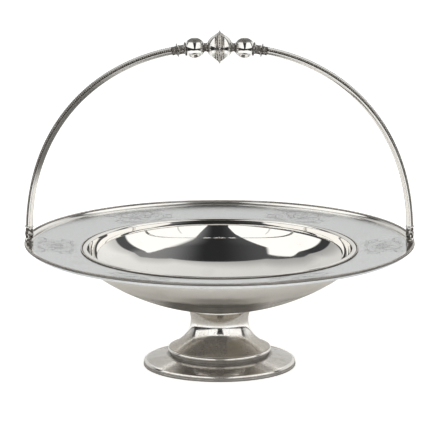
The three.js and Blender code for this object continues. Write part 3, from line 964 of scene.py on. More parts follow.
@made_once
def stem_finish(finish):
    """Bright at the waist, browner down the flare, with painted shade as a brown film up against the bowl
    and a painted light streak of more film on the flare.
    """
    step_base = dish_sizes()[2].step_base
    waist = StemCurve(0).waist_height
    low = finish.ease(finish.z - step_base, *FLARE_OVER_STEP)
    # Painted shade under the bowl: a brown film at the stem's top, along a curve
    curved = finish.z - waist - finish.x * finish.x / NECK_SHADE_CURVE
    high = finish.ease(curved, *NECK_SHADE_OVER_WAIST)
    # A painted light streak on the flare: more of the lighter brown film
    painted_light_streak = finish.between(finish.x, *FLARE_LIGHT_STREAK)
    tone = low * 0.2 + high * 0.45
    tarnish_and_painted_light = low * (0.34 + painted_light_streak * 0.36) + high * 0.45
    return spun_pedestal(finish, tone, 0.08 + low * 0.06, tarnish_and_painted_light, finishes().film)


@made_once
def foot_finish(finish):
    """Duller and darker than the stem, but for the polished crown of its edge, with painted shade on the
    lower side of the edge and a painted shadow beside the step moulding.
    """
    _, _, sizes = dish_sizes()
    inner = sizes.foot_radius - sizes.foot_edge_radius
    level = sizes.foot_edge_height - sizes.foot_edge_radius
    crown = finish.near(finish.radius, inner, FOOT_CROWN)
    # Painted shade on the lower side of the edge, and a painted shadow beside the step moulding
    side = finish.near(finish.z, level, FOOT_SIDE_SHADE)
    riser = sizes.flare_radius + sizes.step_lip - sizes.riser_inset
    step_shadow = finish.near(finish.radius, riser, STEP_SHADOW)
    tarnish_and_painted_light = (1 - crown) * 0.16 + side * 0.45 + step_shadow * 0.4
    roughness = 0.11 - crown * 0.04
    return spun_pedestal(finish, (1 - crown) * 0.15 + 0.05, roughness, tarnish_and_painted_light, finishes().shade_and_tarnish)


@made_once
def hinge_finish(finish):
    """Dark brown-toned hinges, with painted shade in their corners, partly tarnish, so that their open
    crowns stay bright.
    """
    tone = finish.spots(620, 0.42, 0.54)
    stain_and_painted_light = finish.greater(tone * 0.9, finish.shade_and_tarnish(*HINGE_RECESS))
    return finish.metal(finish.toned(tone * 0.6), 0.1 + tone * 0.15, finish.rubbed(1400), 0.04 * MM, stain_and_painted_light)


def small_turning(finish, tone, stain_and_painted_light):
    """Metal of the grip's small turned pieces: spots of tone, under a dark film of painted shade and some
    tarnish.
    """
    base = finish.toned(tone * 0.4 + 0.2)
    return finish.metal(base, 0.12 + tone * 0.12, finish.rubbed(2400), POLISH_DEPTH, stain_and_painted_light)


@made_once
def spool_finish(finish):
    """Small turned pieces, painted nearly black with shade, partly tarnish, but for their sharp edges."""
    tone = finish.spots(800, 0.4, 0.6)
    stain_and_painted_light = finish.greater(finish.shade_and_tarnish(*TURNING_RECESS) * 0.95, tone * 0.35 + 0.45)
    return small_turning(finish, tone, stain_and_painted_light)


@made_once
def turning_finish(finish):
    """The grooved disc, with painted shade, partly tarnish, in every groove."""
    return small_turning(finish, finish.spots(800, 0.4, 0.65), finish.shade_and_tarnish(*TURNING_RECESS) * 0.92)


@made_once
def arm_finish(finish):
    """The arms' bands: polished, with painted shade between the beads, and a dark painted reflection over
    much of the left arm.
    """
    marks = finish.spots(260, 0.4, 0.7)
    above = finish.z - pivot_height()
    fade = 1 - finish.ease(above, *ARM_REFLECTION_FADE_OVER_PINS) * 0.7
    # A painted reflection of dark surroundings over the left arm, between two heights over the pins
    toned = finish.ease(finish.x, *LEFT_ARM_REFLECTION) * finish.ease(above, *ARM_REFLECTION_OVER_PINS) * fade
    stain_and_painted_light = finish.greater(finish.shade_and_tarnish(*ARM_RECESS) * 0.9, toned * 0.72 + 0.04)
    silver = opaque(finishes().silver)
    return finish.metal(silver, 0.1 + marks * 0.08, finish.rubbed(2400), HANDLED_DEPTH, stain_and_painted_light)


@made_once
def handle_finish(finish):
    """The handle's balls: bright, with soft handling marks, painted shade at their ends and a painted
    reflection of the dark ceiling as a cap on the outer balls.
    """
    sizes = bpy.context.scene
    marks = finish.spots(260, 0.45, 0.75)
    above = finish.z - (pivot_height() + sizes.dish_handle.rise)
    # A painted reflection of the dark ceiling across the outer balls' tops, and painted shade at every
    # ball's ends
    painted_ceiling_cap = finish.between(above, *(share * sizes.dish_grip.side_ball for share in CEILING_REFLECTION_SHARES))
    outer = finish.ease(abs(finish.x), *OUTER_BALLS)
    stain_and_painted_light = finish.greater(finish.shade_and_tarnish(*BALL_RECESS) * 0.92, painted_ceiling_cap * outer * 0.8)
    roughness = 0.07 + marks * 0.06 + finish.scratches() * 0.03
    return finish.metal(finish.toned(marks * 0.2), roughness, finish.rubbed(2400), HANDLED_DEPTH, stain_and_painted_light)


# Pieces of the dish


class DISH_OT_bowl(bpy.types.Operator):
    """Spins the bowl: its shallow floor, rounded shoulder and wide flat rim"""

    bl_idname = "dish.bowl"
    bl_label = "Bowl"

    floor_steps = 48
    shoulder_steps = 36

    def execute(self, context):
        rim, well, pedestal = dish_sizes()
        shoulder_centre = well.mouth_radius + well.sheet - well.shoulder_radius
        radius = floor_radius()
        centre = pedestal.height + radius
        shoulder_turn = math.atan2(centre - flat_underside(), shoulder_centre)
        floor_turn = math.pi / 2 - shoulder_turn
        seat_edge, border_inner = flat_edges()
        sheet_edge = border_inner + rim.border_seat
        mesh = bmesh.new()
        outline = Outline(mesh, 0, pedestal.height)
        outline.arc(0, centre, floor_turn, self.floor_steps)
        outline.arc(shoulder_centre, flat_underside(), shoulder_turn, self.shoulder_steps)
        outline.to(seat_edge, flat_underside())
        outline.to(border_inner, rim_seat() - well.sheet)
        outline.to(sheet_edge, rim_seat() - well.sheet)
        outline.to(sheet_edge, rim_seat())
        outline.to(border_inner, rim_seat())
        outline.to(seat_edge, mouth_seat())
        outline.to(well.mouth_radius, mouth_seat())
        outline.to(well.mouth_radius, flat_underside())
        outline.arc(shoulder_centre, flat_underside(), -shoulder_turn, self.shoulder_steps)
        outline.arc(0, centre, -floor_turn, self.floor_steps)
        turn_round(mesh)
        second_finish(face for face in mesh.faces if face.normal.z < 0)
        coats = (bowl_inside_finish(), bowl_outside_finish())
        finish_piece(mesh, "bowl_sheet", "dish", ["bowl"], "bowl_plate", *coats)
        return {"FINISHED"}


# Half a panel of scrollwork, in millimetres and degrees: where a stroke starts along and up the flat,
# its heading, its length, its bend for each millimetre at the start and at the end, and its width.
# A scroll also has leaves at some of its steps, on its left (1) or on its right (-1).
SCROLLS = (
    (1.2, -9.6, 2, 36, -0.02, 0.36, 0.5, (1, 2, 3, 4, 5, 6), -1),
    (0.8, 10.6, -3, 27, 0.0, -0.44, 0.5, (1, 2, 3, 4, 5), 1),
    (12.5, -7.3, 12, 15, -0.16, 0.72, 0.42, (2, 4, 6), -1),
    (11.2, 7.0, 20, 14, -0.16, 0.7, 0.42, (2, 4, 6), 1),
    (15.5, -1.5, 28, 9, -0.3, 0.55, 0.36, (2, 4), -1),
)
PETALS = (
    (0.6, -3.5, 88, 10.5, -0.12, 0.34, 0.45),
    (0.9, -3.7, 62, 9.5, -0.16, 0.36, 0.42),
    (0.9, -3.7, 38, 8.0, 0.05, 0.42, 0.42),
    (1.2, -4.2, 30, 8.5, -0.16, 0.4, 0.42),
    (1.2, -4.2, 6, 7.5, 0.05, 0.45, 0.4),
    (0.9, -3.7, 50, 6.0, -0.06, 0.1, 0.3),
    (1.2, -4.2, 18, 5.5, -0.06, 0.12, 0.3),
    (0, -6.8, 0, 7.5, 0.15, 0.5, 0.42),
)
# Millimetres that every stroke stands off its panel's axis, so that none touches its mirrored twin
AXIS_GAP = 0.05
# A stroke's width and height at its two ends, as a share of those at its middle, and the power of its
# swell: a lower one makes a fuller stroke
THIN_END = 0.2
SWELL_POWER = 0.6
LEAF_TURN = math.radians(48)
LEAF_LENGTH = 4.2
LEAF_BEND = 0.32
LEAF_WIDTH = 0.42


class DISH_OT_chasing(bpy.types.Operator):
    """Lays the chased panels of scrolls, leaves and palmettes round the flat"""

    bl_idname = "dish.chasing"
    bl_label = "Chased scrollwork"

    steps = 16

    def flourish(self, along, up, heading, run, bend, end_bend):
        """Places and headings along a stroke whose bend changes evenly."""
        step = run / self.steps
        places = [(along, up, heading)]
        for i in range(self.steps):
            heading += (bend + (end_bend - bend) * (i + 0.5) / self.steps) * step
            along += math.cos(heading) * step
            up += math.sin(heading) * step
            places.append((along, up, heading))
        return places

    def strokes(self):
        """The strokes of half a panel, each with its width."""
        for along, up, heading, run, bend, end_bend, width, leaves, side in SCROLLS:
            path = self.flourish(along, up, math.radians(heading), run, bend, end_bend)
            yield path, width
            for leaf in leaves:
                start, rise, turn = path[leaf]
                turn += side * LEAF_TURN
                yield self.flourish(start, rise, turn, LEAF_LENGTH, -side * LEAF_BEND, 0), LEAF_WIDTH
        for along, up, heading, run, bend, end_bend, width in PETALS:
            yield self.flourish(along, up, math.radians(heading), run, bend, end_bend), width

    def station(self, sizes, place, side, swell):
        """Place and turn of a stroke's section on the flat."""
        along, up, heading = place
        radius = sizes.middle + up * MM
        turn = side * (along + AXIS_GAP) * MM / sizes.middle
        spot = (radius * math.cos(turn), radius * math.sin(turn), flat_height(radius))
        facing = turn + side * (math.pi / 2 - heading)
        turned = Matrix.Translation(spot) @ Matrix.Rotation(facing, 4, "Z")
        return turned @ Matrix.Diagonal((1, swell, swell, 1))

    def execute(self, context):
        sizes = context.scene.dish_chasing
        mesh = bmesh.new()
        swells = []
        for i in range(self.steps + 1):
            swells.append(THIN_END + (1 - THIN_END) * math.sin(math.pi * i / self.steps) ** SWELL_POWER)
        for path, width in self.strokes():
            for side in (1, -1):
                half = width / 2 * MM
                corners = ((0, -half, -sizes.sink), (0, half, -sizes.sink), (0, 0, sizes.height))
                ring = [mesh.verts.new(corner) for corner in corners]
                for first, second in zip(ring, ring[1:] + ring[:1]):
                    mesh.edges.new((first, second))
                stations = [self.station(sizes, place, side, swell) for place, swell in zip(path, swells)]
                sweep(mesh, ring, stations)
        repeat_round(mesh, sizes.repeats, FULL * (sizes.repeats - 1) / sizes.repeats)
        bmesh.ops.recalc_face_normals(mesh, faces=mesh.faces)
        finish_piece(mesh, "rim_chasing", "dish", [], "bowl_plate", chasing_finish())
        return {"FINISHED"}


def border_strip():
    """The whole border before it is cut for the hinges."""
    rim, _, _ = dish_sizes()
    seat = rim_seat()
    crest = seat + rim.border_rise
    bead_seat = 2 * (rim.bead_radius + rim.bead_margin)
    rise = rim.border_rise - rim.border_foot
    cove_radius = rim.cove_share * rise / (1 - math.cos(rim.cove_turn))
    steep_width = (1 - rim.cove_share) * rise / math.tan(rim.cove_turn)
    cove_start = rim.radius - bead_seat - steep_width - cove_radius * math.sin(rim.cove_turn)
    _, inner = flat_edges()
    mesh = bmesh.new()
    outline = Outline(mesh, inner + rim.border_seat, seat)
    outline.to(rim.radius - rim.border_foot, crest - rim.border_edge - rim.border_foot)
    outline.to(rim.radius, crest - rim.border_edge)
    outline.to(rim.radius, crest)
    outline.to(rim.radius - bead_seat, crest)
    crest_corners = outline.verts[-3:]
    cove_top = seat + rim.border_foot + rim.cove_share * rise
    outline.to(rim.radius - bead_seat - steep_width, cove_top)
    outline.arc(cove_start, seat + rim.border_foot + cove_radius, -rim.cove_turn, steps=12)
    outline.to(inner + 0.5 * rim.border_foot, seat + rim.border_foot)
    outline.to(inner, seat)
    outline.close()
    outline.soften(crest_corners, CREST_ROUNDING)
    turn_round(mesh)
    return mesh


class DISH_OT_border(bpy.types.Operator):
    """Turns the border strip and cuts it in two lengths that butt against the hinge lugs"""

    bl_idname = "dish.border"
    bl_label = "Border"

    def execute(self, context):
        half_gap = context.scene.dish_hinge.lug_depth / 2 + STRIP_GAP
        for side, direction in (("front", -1), ("back", 1)):
            mesh = border_strip()
            bmesh.ops.bisect_plane(
                mesh,
                geom=everything(mesh),
                plane_co=(0, direction * half_gap, 0),
                plane_no=(0, -direction, 0),
                clear_outer=True,
            )
            cap_ends(mesh)
            name = f"border_strip_{side}"
            node = f"rim_border_{side}"
            finish_piece(mesh, name, "dish", [node], "mounts_plate", border_finish())
        return {"FINISHED"}


class DISH_OT_rim_beading(bpy.types.Operator):
    """Lays the beaded wire on the border's crest, in two lengths"""

    bl_idname = "dish.rim_beading"
    bl_label = "Rim beading"

    def execute(self, context):
        rim, _, _ = dish_sizes()
        ring_radius = rim.radius - rim.bead_radius - rim.bead_margin
        height = rim_seat() + rim.border_rise + rim.bead_radius
        half_gap = context.scene.dish_hinge.lug_depth / 2 + rim.bead_radius + BEAD_GAP
        start = half_gap / ring_radius
        for side, turn in (("front", math.pi), ("back", 0)):
            ends = (turn + start, turn + math.pi - start)
            mesh = bead_ring(ring_radius, height, rim.bead_radius, rim.bead_pitch, *ends)
            name = f"border_beading_{side}"
            node = f"rim_beads_{side}"
            finish_piece(mesh, name, "dish", [node], "mounts_plate", *beading_coats())
        return {"FINISHED"}


class DISH_OT_mouth_wires(bpy.types.Operator):
    """Turns the half-round wire round the mouth and lays the fine beaded wire outside it"""

    bl_idname = "dish.mouth_wires"
    bl_label = "Mouth wires"

    def execute(self, context):
        _, well, _ = dish_sizes()
        half = well.moulding_width / 2
        seat = mouth_seat()
        mesh = bmesh.new()
        outline = Outline(mesh, half, 0)
        outline.arc(0, 0, math.pi, steps=20)
        outline.close()
        bmesh.ops.scale(mesh, vec=(1, 1, well.moulding_height / half), verts=mesh.verts)
        bmesh.ops.translate(mesh, vec=(well.mouth_radius + half, 0, seat), verts=mesh.verts)
        turn_round(mesh)
        finish_piece(mesh, "mouth_wire", "dish", ["mouth_moulding"], "mounts_plate", mouth_wire_finish())
        ring_radius = well.mouth_radius + well.moulding_width + well.bead_radius
        bead_height = seat + MOUTH_BEAD_SEAT * well.bead_radius
        beads = bead_ring(ring_radius, bead_height, well.bead_radius, well.bead_pitch)
        finish_piece(beads, "mouth_beading", "dish", ["mouth_beads"], "mounts_plate", *beading_coats())
        return {"FINISHED"}


class DISH_OT_stem(bpy.types.Operator):
    """Spins the hollow stem and turns the ring between it and the bowl"""

    bl_idname = "dish.stem"
    bl_label = "Stem"

    def execute(self, context):
        _, _, sizes = dish_sizes()
        outside = StemCurve(0)
        inside = StemCurve(sizes.stem_wall)
        step_top = sizes.step_base + sizes.step_height
        mesh = bmesh.new()
        outline = Outline(mesh, *outside.place(outside.turn(outside.top)))
        for place in outside.places(outside.top, outside.end, steps=48)[1:]:
            outline.to(*place)
        outline.to(sizes.flare_radius, step_top)
        for place in reversed(inside.places(inside.top, step_top, steps=24)):
            outline.to(*place)
        outline.close()
        turn_round(mesh)
        finish_piece(mesh, "stem_spinning", "dish", ["pedestal_stem"], "pedestal_plate", stem_finish())

        outer = outside.place(outside.turn(outside.top))[0] + sizes.collar_lip
        inner = inside.place(inside.turn(inside.top))[0] - sizes.collar_lip
        ring = bmesh.new()
        outline = Outline(ring, inner, outside.top)
        outline.to(outer, outside.top)
        outline.to(outer, floor_height(outer))
        outline.to(inner, floor_height(inner))
        outline.close()
        outline.soften(outline.verts[1:3], COLLAR_ROUNDING * sizes.collar_height, segments=4)
        turn_round(ring)
        node = "pedestal_collar"
        finish_piece(ring, "stem_collar", "dish", [node], "pedestal_plate", bright_wire_finish())
        return {"FINISHED"}


class DISH_OT_foot(bpy.types.Operator):
    """Turns the step moulding, the hollow foot with its rounded edge and the wire under it"""

    bl_idname = "dish.foot"
    bl_label = "Foot"

    def step(self, sizes):
        outer = sizes.flare_radius + sizes.step_lip
        half = sizes.step_height / 2
        base = sizes.step_base
        mesh = bmesh.new()
        outline = Outline(mesh, outer - half, base)
        outline.arc(outer - half, base + half, math.pi, steps=14)
        outline.to(outer - sizes.step_width, base + sizes.step_height)
        outline.to(outer - sizes.step_width, base)
        outline.close()
        turn_round(mesh)
        node = "foot_step_ring"
        finish_piece(mesh, "step_moulding", "dish", [node], "pedestal_plate", bright_wire_finish())

    def flange(self, sizes, wall):
        riser = sizes.flare_radius + sizes.step_lip - sizes.riser_inset
        step_inner = sizes.flare_radius + sizes.step_lip - sizes.step_width
        centre = sizes.foot_radius - sizes.foot_edge_radius
        level = sizes.foot_edge_height - sizes.foot_edge_radius
        riser_foot = sizes.step_base - sizes.riser_height
        slope = math.atan2(riser_foot - sizes.foot_edge_height, centre - riser)
        turn = math.pi / 2 - slope
        mesh = bmesh.new()
        outline = Outline(mesh, sizes.foot_radius, sizes.wire_height)
        outline.to(sizes.foot_radius, level)
        outline.arc(centre, level, turn, steps=12)
        outline.to(riser, riser_foot)
        outline.to(riser, sizes.step_base)
        outline.to(step_inner, sizes.step_base)
        outline.to(step_inner, sizes.step_base - wall)
        outline.to(riser - wall, sizes.step_base - wall)
        outline.to(riser - wall, riser_foot - wall)
        inner_edge = sizes.foot_edge_radius - wall
        outline.to(centre + inner_edge * math.cos(turn), level + inner_edge * math.sin(turn))
        outline.arc(centre, level, -turn, steps=6)
        outline.to(sizes.foot_radius - wall, sizes.wire_height)
        outline.close()
        turn_round(mesh)
        finish_piece(mesh, "foot_spinning", "dish", ["foot_flange"], "pedestal_plate", foot_finish())

    def wire(self, sizes):
        outer = sizes.foot_radius + sizes.wire_lip
        mesh = bmesh.new()
        outline = Outline(mesh, outer - sizes.wire_width, 0)
        outline.to(outer, 0)
        outline.to(outer, sizes.wire_height)
        outline.to(outer - sizes.wire_width, sizes.wire_height)
        outline.close()
        outline.soften(outline.verts[1:3], WIRE_ROUNDING * sizes.wire_height, segments=5)
        turn_round(mesh)
        finish_piece(mesh, "foot_base_wire", "dish", ["foot_wire"], "pedestal_plate", foot_finish())

    def execute(self, context):
        _, well, sizes = dish_sizes()
        self.step(sizes)
        self.flange(sizes, well.sheet)
        self.wire(sizes)
        return {"FINISHED"}


# Hinges


def hinge_place():
    return Matrix.Translation((hinge_span(), 0, pivot_height()))


class DISH_OT_lugs(bpy.types.Operator):
    """Makes the upright lugs on the rim, each a block with a round-topped tongue"""

    bl_idname = "dish.lugs"
    bl_label = "Hinge lugs"

    def execute(self, context):
        sizes = context.scene.dish_hinge
        top = -sizes.eye_radius - sizes.swing_gap
        mesh = bmesh.new()
        size = (sizes.lug_width, sizes.lug_depth, top + sizes.pivot_rise, 1)
        block = Matrix.Translation((0, 0, (top - sizes.pivot_rise) / 2)) @ Matrix.Diagonal(size)
        bmesh.ops.create_cube(mesh, size=1, matrix=block)
        soften(mesh, edges_along(mesh, (0, 0, 1)), LUG_ROUNDING)
        roof = max(mesh.faces, key=lambda face: face.calc_center_median().z)
        bmesh.ops.inset_region(mesh, faces=[roof], thickness=SLOPE_WIDTH, depth=SLOPE_RISE)
        verts, tongue = drawn_out(mesh, [roof])
        span = max(vert.co.x for vert in verts)
        depth = max(vert.co.y for vert in verts)
        shrink = (0.5 * sizes.tongue_width / span, TONGUE_SHARE * sizes.eye_radius / depth, 1)
        bmesh.ops.scale(mesh, vec=shrink, verts=verts)
        verts, _ = drawn_out(mesh, tongue)
        bmesh.ops.translate(mesh, vec=(0, 0, sizes.eye_radius - verts[0].co.z), verts=verts)
        top_edges = edges_along(mesh, (1, 0, 0), low=NEAR_END * sizes.eye_radius)
        soften(mesh, top_edges, ROUND_SHARE * sizes.eye_radius, segments=10)
        bmesh.ops.dissolve_degenerate(mesh, dist=SLIVER, edges=mesh.edges)
        bmesh.ops.recalc_face_normals(mesh, faces=mesh.faces)
        move(mesh, hinge_place())
        finish_pair(mesh, "hinge_upright", "dish", "hinge_lug", "hinge_plate", hinge_finish())
        return {"FINISHED"}


# The domed head of a pin from its crown to its edge: share of its radius, and share of its height
DOME = ((0.55, 0.85), (0.9, 0.5), (1, 0))


class DISH_OT_pins(bpy.types.Operator):
    """Turns the riveted pins with their domed heads"""

    bl_idname = "dish.pins"
    bl_label = "Hinge pins"

    def execute(self, context):
        sizes = context.scene.dish_hinge
        shank = sizes.tongue_width / 2 + 2 * sizes.side_gap + sizes.cheek_width
        mesh = bmesh.new()
        end = shank + sizes.pin_head_height
        outline = Outline(mesh, 0, -end)
        radius = sizes.pin_head_radius
        head = [(share * radius, shank + rise * sizes.pin_head_height) for share, rise in DOME]
        outline.both_ends([*head, (sizes.pin_radius, shank)])
        outline.to(0, end)
        turn_round(mesh, steps=32)
        move(mesh, hinge_place() @ along_x())
        finish_pair(mesh, "hinge_rivet", "dish", "hinge_pin", "hinge_plate", bright_wire_finish())
        return {"FINISHED"}


class DISH_OT_forks(bpy.types.Operator):
    """Makes the forked ends of the handle and the ferrules above them"""

    bl_idname = "dish.forks"
    bl_label = "Hinge forks"

    def execute(self, context):
        sizes = context.scene.dish_hinge
        slot = sizes.tongue_width / 2 + sizes.side_gap
        half = slot + sizes.cheek_width
        low = -sizes.eye_radius
        slot_top = sizes.eye_radius + SLOT_ROOM
        mesh = bmesh.new()
        outline = Outline(mesh, -half, low)
        outline.to(-half, sizes.fork_reach)
        outline.to(half, sizes.fork_reach)
        outline.to(half, low)
        outline.to(slot, low)
        outline.to(slot, slot_top)
        outline.to(-slot, slot_top)
        outline.to(-slot, low)
        outline.close()
        front = bmesh.ops.contextual_create(mesh, geom=list(mesh.edges))["faces"]
        bmesh.ops.translate(mesh, vec=(0, -sizes.eye_radius, 0), verts=mesh.verts)
        drawn = bmesh.ops.extrude_face_region(mesh, geom=front)["geom"]
        verts = picked(drawn, bmesh.types.BMVert)
        bmesh.ops.translate(mesh, vec=(0, 2 * sizes.eye_radius, 0), verts=verts)
        round_ends = edges_along(mesh, (1, 0, 0), high=NEAR_END * low)
        soften(mesh, round_ends, ROUND_SHARE * sizes.eye_radius, segments=8)
        shoulders = edges_along(mesh, (0, 1, 0), low=NEAR_END * sizes.fork_reach)
        soften(mesh, shoulders, FORK_ROUNDING)
        bmesh.ops.recalc_face_normals(mesh, faces=mesh.faces)
        move(mesh, hinge_place())
        finish_pair(mesh, "fork_end", "handle", "hinge_fork", "hinge_plate", hinge_finish())

        ring = bmesh.new()
        half_height = sizes.ferrule_height / 2
        outline = Outline(ring, 0, -half_height)
        outline.to(sizes.ferrule_radius - half_height, -half_height)
        outline.arc(sizes.ferrule_radius - half_height, 0, math.pi, steps=10)
        outline.to(0, half_height)
        turn_round(ring, steps=48)
        lift = Matrix.Translation((0, 0, sizes.fork_reach + half_height))
        move(ring, hinge_place() @ lift)
        finish_pair(ring, "ferrule_ring", "handle", "arm_ferrule", "hinge_plate", bright_wire_finish())
        return {"FINISHED"}


# Handle


def cut_reach(radius, cut_radius):
    """How far from its centre a ball is cut flat, so that the cut has a radius."""
    return math.sqrt(radius**2 - cut_radius**2)


def grip_layout():
    """The place along X of each turned piece of the right half of the grip, and where the grip ends."""
    sizes = bpy.context.scene.dish_grip
    gap = sizes.seat_gap
    places = {}
    end = cut_reach(sizes.centre_ball, sizes.neck_radius)
    places["neck"] = end + gap + sizes.neck_length / 2
    end += gap + sizes.neck_length
    places["side_ball"] = end + gap + cut_reach(sizes.side_ball, sizes.neck_radius)
    end = places["side_ball"] + cut_reach(sizes.side_ball, sizes.ring_radius)
    for name in ("ring", "spool", "flange", "socket"):
        piece_length = getattr(sizes, f"{name}_length")
        places[name] = end + gap + piece_length / 2
        end += gap + piece_length
    return places, end


def arm_angles():
    """The arch's angles at the two ends of the right arm."""
    arch = Arch()
    hinge = bpy.context.scene.dish_hinge
    gap = bpy.context.scene.dish_grip.seat_gap
    start = arch.angle_at_rise(hinge.fork_reach + hinge.ferrule_height)
    return start, arch.angle_at_x(grip_layout()[1] + gap)


def arm_stations(arch, steps):
    """Evenly turned stations from one end of the right arm to the other."""
    start, end = arm_angles()
    return [arch.station(start + (end - start) * i / steps) for i in range(steps + 1)]


class DISH_OT_arms(bpy.types.Operator):
    """Draws the bowed arms: a smooth band between two ledges over a rounded underside"""

    bl_idname = "dish.arms"
    bl_label = "Handle arms"

    # The underside is a superellipse with one power across the arm and another into its depth
    squareness = 2.4
    roundness = 1.5
    round_steps = 24
    crown_steps = 8

    def section(self, mesh, sizes):
        half = sizes.arm_width / 2
        outside = sizes.arm_thickness / 2
        ledge = outside - 2 * sizes.bead_radius
        band = half - 2 * sizes.bead_radius
        outline = Outline(mesh, half, ledge)
        outline.to(band, ledge)
        outline.to(band, outside - sizes.arm_crown)
        for i in range(1, self.crown_steps):
            across = band * (1 - 2 * i / self.crown_steps)
            outline.to(across, outside - sizes.arm_crown * (across / band) ** 2)
        outline.to(-band, outside - sizes.arm_crown)
        outline.to(-band, ledge)
        outline.to(-half, ledge)
        side = ledge - sizes.arm_shoulder
        for i in range(self.round_steps + 1):
            share = math.cos(math.pi * i / self.round_steps)
            depth = (side + outside) * (1 - abs(share) ** self.squareness) ** (1 / self.roundness)
            outline.to(-half * share, side - depth)
        outline.close()
        return list(mesh.verts)

    def execute(self, context):
        sizes = context.scene.dish_handle
        arch = Arch()
        stations = arm_stations(arch, ARM_STEPS)
        mesh = bmesh.new()
        ring = self.section(mesh, sizes)
        bmesh.ops.rotate(mesh, cent=(0, 0, 0), matrix=Matrix.Rotation(math.pi / 2, 3, "Z"), verts=ring)
        sweep(mesh, ring, stations)
        bmesh.ops.recalc_face_normals(mesh, faces=mesh.faces)
        finish_pair(mesh, "arm_band", "handle", "handle_arm", "handle_plate", arm_finish())
        return {"FINISHED"}


class DISH_OT_arm_beading(bpy.types.Operator):
    """Lays the beaded wires along both edges of each arm"""

    bl_idname = "dish.arm_beading"
    bl_label = "Arm beading"

    fine_steps = 4000

    def bead_places(self, arch, offset, pitch):
        """Places one pitch apart along the wire."""
        fine = [(station @ offset).to_translation() for station in arm_stations(arch, self.fine_steps)]
        places = []
        travelled = pitch / 2
        for last, here in zip(fine, fine[1:]):
            travelled += (here - last).length
            if travelled >= pitch:
                travelled -= pitch
                places.append(here)
        return places

    def execute(self, context):
        sizes = context.scene.dish_handle
        arch = Arch()
        across = sizes.arm_width / 2 - sizes.bead_radius
        up = sizes.arm_thickness / 2 - sizes.bead_radius
        for edge, direction in (("front", -1), ("back", 1)):
            offset = Matrix.Translation((0, direction * across, up))
            stations = [station @ offset for station in arm_stations(arch, ARM_STEPS)]
            mesh = bmesh.new()
            sweep(mesh, bead_core(mesh, sizes.bead_radius, along_x()), stations)
            second_finish(mesh.faces)
            for place in self.bead_places(arch, offset, sizes.bead_pitch):
                bead(mesh, sizes.bead_radius, place)
            name = f"arm_beading_{edge}"
            node = f"arm_beads_{edge}"
            coats = (arm_beading_finish(), beading_core_finish())
            finish_pair(mesh, name, "handle", node, "handle_plate", *coats)
        return {"FINISHED"}


def bored(outline, bore):
    """Closes a turned piece's outline round its bore."""
    first = outline.verts[0].co.z
    last = outline.verts[-1].co.z
    outline.to(bore, last)
    outline.to(bore, first)
    outline.close()


def threaded(mesh, x):
    """Turns a piece and sets it on the arch, square to it."""
    turn_round(mesh, GRIP_STEPS)
    move(mesh, Arch().station_at_x(x) @ along_x())


def ball(radius, wall, bore, start, end):
    """A hollow ball about the origin, cut flat at two places along its axis."""
    inner = radius - wall
    reach = cut_reach(inner, bore)
    mesh = bmesh.new()
    start_turn = math.asin(start / radius)
    end_turn = math.asin(end / radius)
    outline = Outline(mesh, radius * math.cos(start_turn), start)
    outline.arc(0, 0, end_turn - start_turn, steps=40)
    if end > reach:
        outline.to(bore, end)
    top = math.asin(min(end, reach) / inner)
    bottom = math.asin(max(start, -reach) / inner)
    outline.to(inner * math.cos(top), inner * math.sin(top))
    outline.arc(0, 0, bottom - top, steps=24)
    if start < -reach:
        outline.to(bore, start)
    outline.close()
    return mesh


class DISH_OT_balls(bpy.types.Operator):
    """Spins the hollow middle ball in two halves and the outer balls"""

    bl_idname = "dish.balls"
    bl_label = "Grip balls"

    def execute(self, context):
        sizes = context.scene.dish_grip
        places, _ = grip_layout()
        centre_end = cut_reach(sizes.centre_ball, sizes.neck_radius)
        mesh = ball(sizes.centre_ball, sizes.ball_wall, sizes.bore, sizes.ridge_base / 2, centre_end)
        threaded(mesh, 0)
        finish_pair(mesh, "middle_ball", "handle", "centre_ball", "handle_plate", handle_finish())
        start = -cut_reach(sizes.side_ball, sizes.neck_radius)
        end = cut_reach(sizes.side_ball, sizes.ring_radius)
        mesh = ball(sizes.side_ball, sizes.ball_wall, sizes.bore, start, end)
        threaded(mesh, places["side_ball"])
        finish_pair(mesh, "outer_ball", "handle", "side_ball", "handle_plate", handle_finish())
        return {"FINISHED"}


# The grooved steps up one side of the disc: share of its rise, and share of its half width
RIDGE_STEPS = ((0.16, 0.97), (0.2, 0.72), (0.3, 0.66), (0.52, 0.58), (0.52, 0.4), (0.72, 0.34), (0.86, 0.16))


class DISH_OT_ridge(bpy.types.Operator):
    """Turns the grooved disc between the halves of the middle ball, with beads on its crest"""

    bl_idname = "dish.ridge"
    bl_label = "Grip ridge"

    def execute(self, context):
        sizes = context.scene.dish_grip
        base = sizes.ridge_base / 2
        foot = math.sqrt(sizes.centre_ball**2 - base**2)
        crest = sizes.ridge_radius - sizes.ridge_bead
        rise = crest - foot
        mesh = bmesh.new()
        outline = Outline(mesh, foot, -base)
        outline.both_ends([(foot + lift * rise, share * base) for lift, share in RIDGE_STEPS])
        outline.to(foot, base)
        bored(outline, sizes.bore)
        turn_round(mesh, GRIP_STEPS)
        number = round(FULL * crest / (RIDGE_BEAD_PITCH * sizes.ridge_bead))
        beads = bmesh.new()
        bead(beads, sizes.ridge_bead, (crest, 0, 0))
        repeat_round(beads, number, FULL * (number - 1) / number)
        joined = bpy.data.meshes.new("ridge_beads")
        beads.to_mesh(joined)
        beads.free()
        mesh.from_mesh(joined)
        bpy.data.meshes.remove(joined)
        move(mesh, Arch().station_at_x(0) @ along_x())
        finish_piece(mesh, "crest_disc", "handle", ["centre_ridge"], "handle_plate", turning_finish())
        return {"FINISHED"}


# The waisted sides of the neck and of the socket: share of the end's radius, and share of the half length
NECK_SIDE = ((0.86, -0.4), (0.84, 0.4), (1, 1))
SOCKET_SIDE = ((0.92, -0.3), (1, 1))
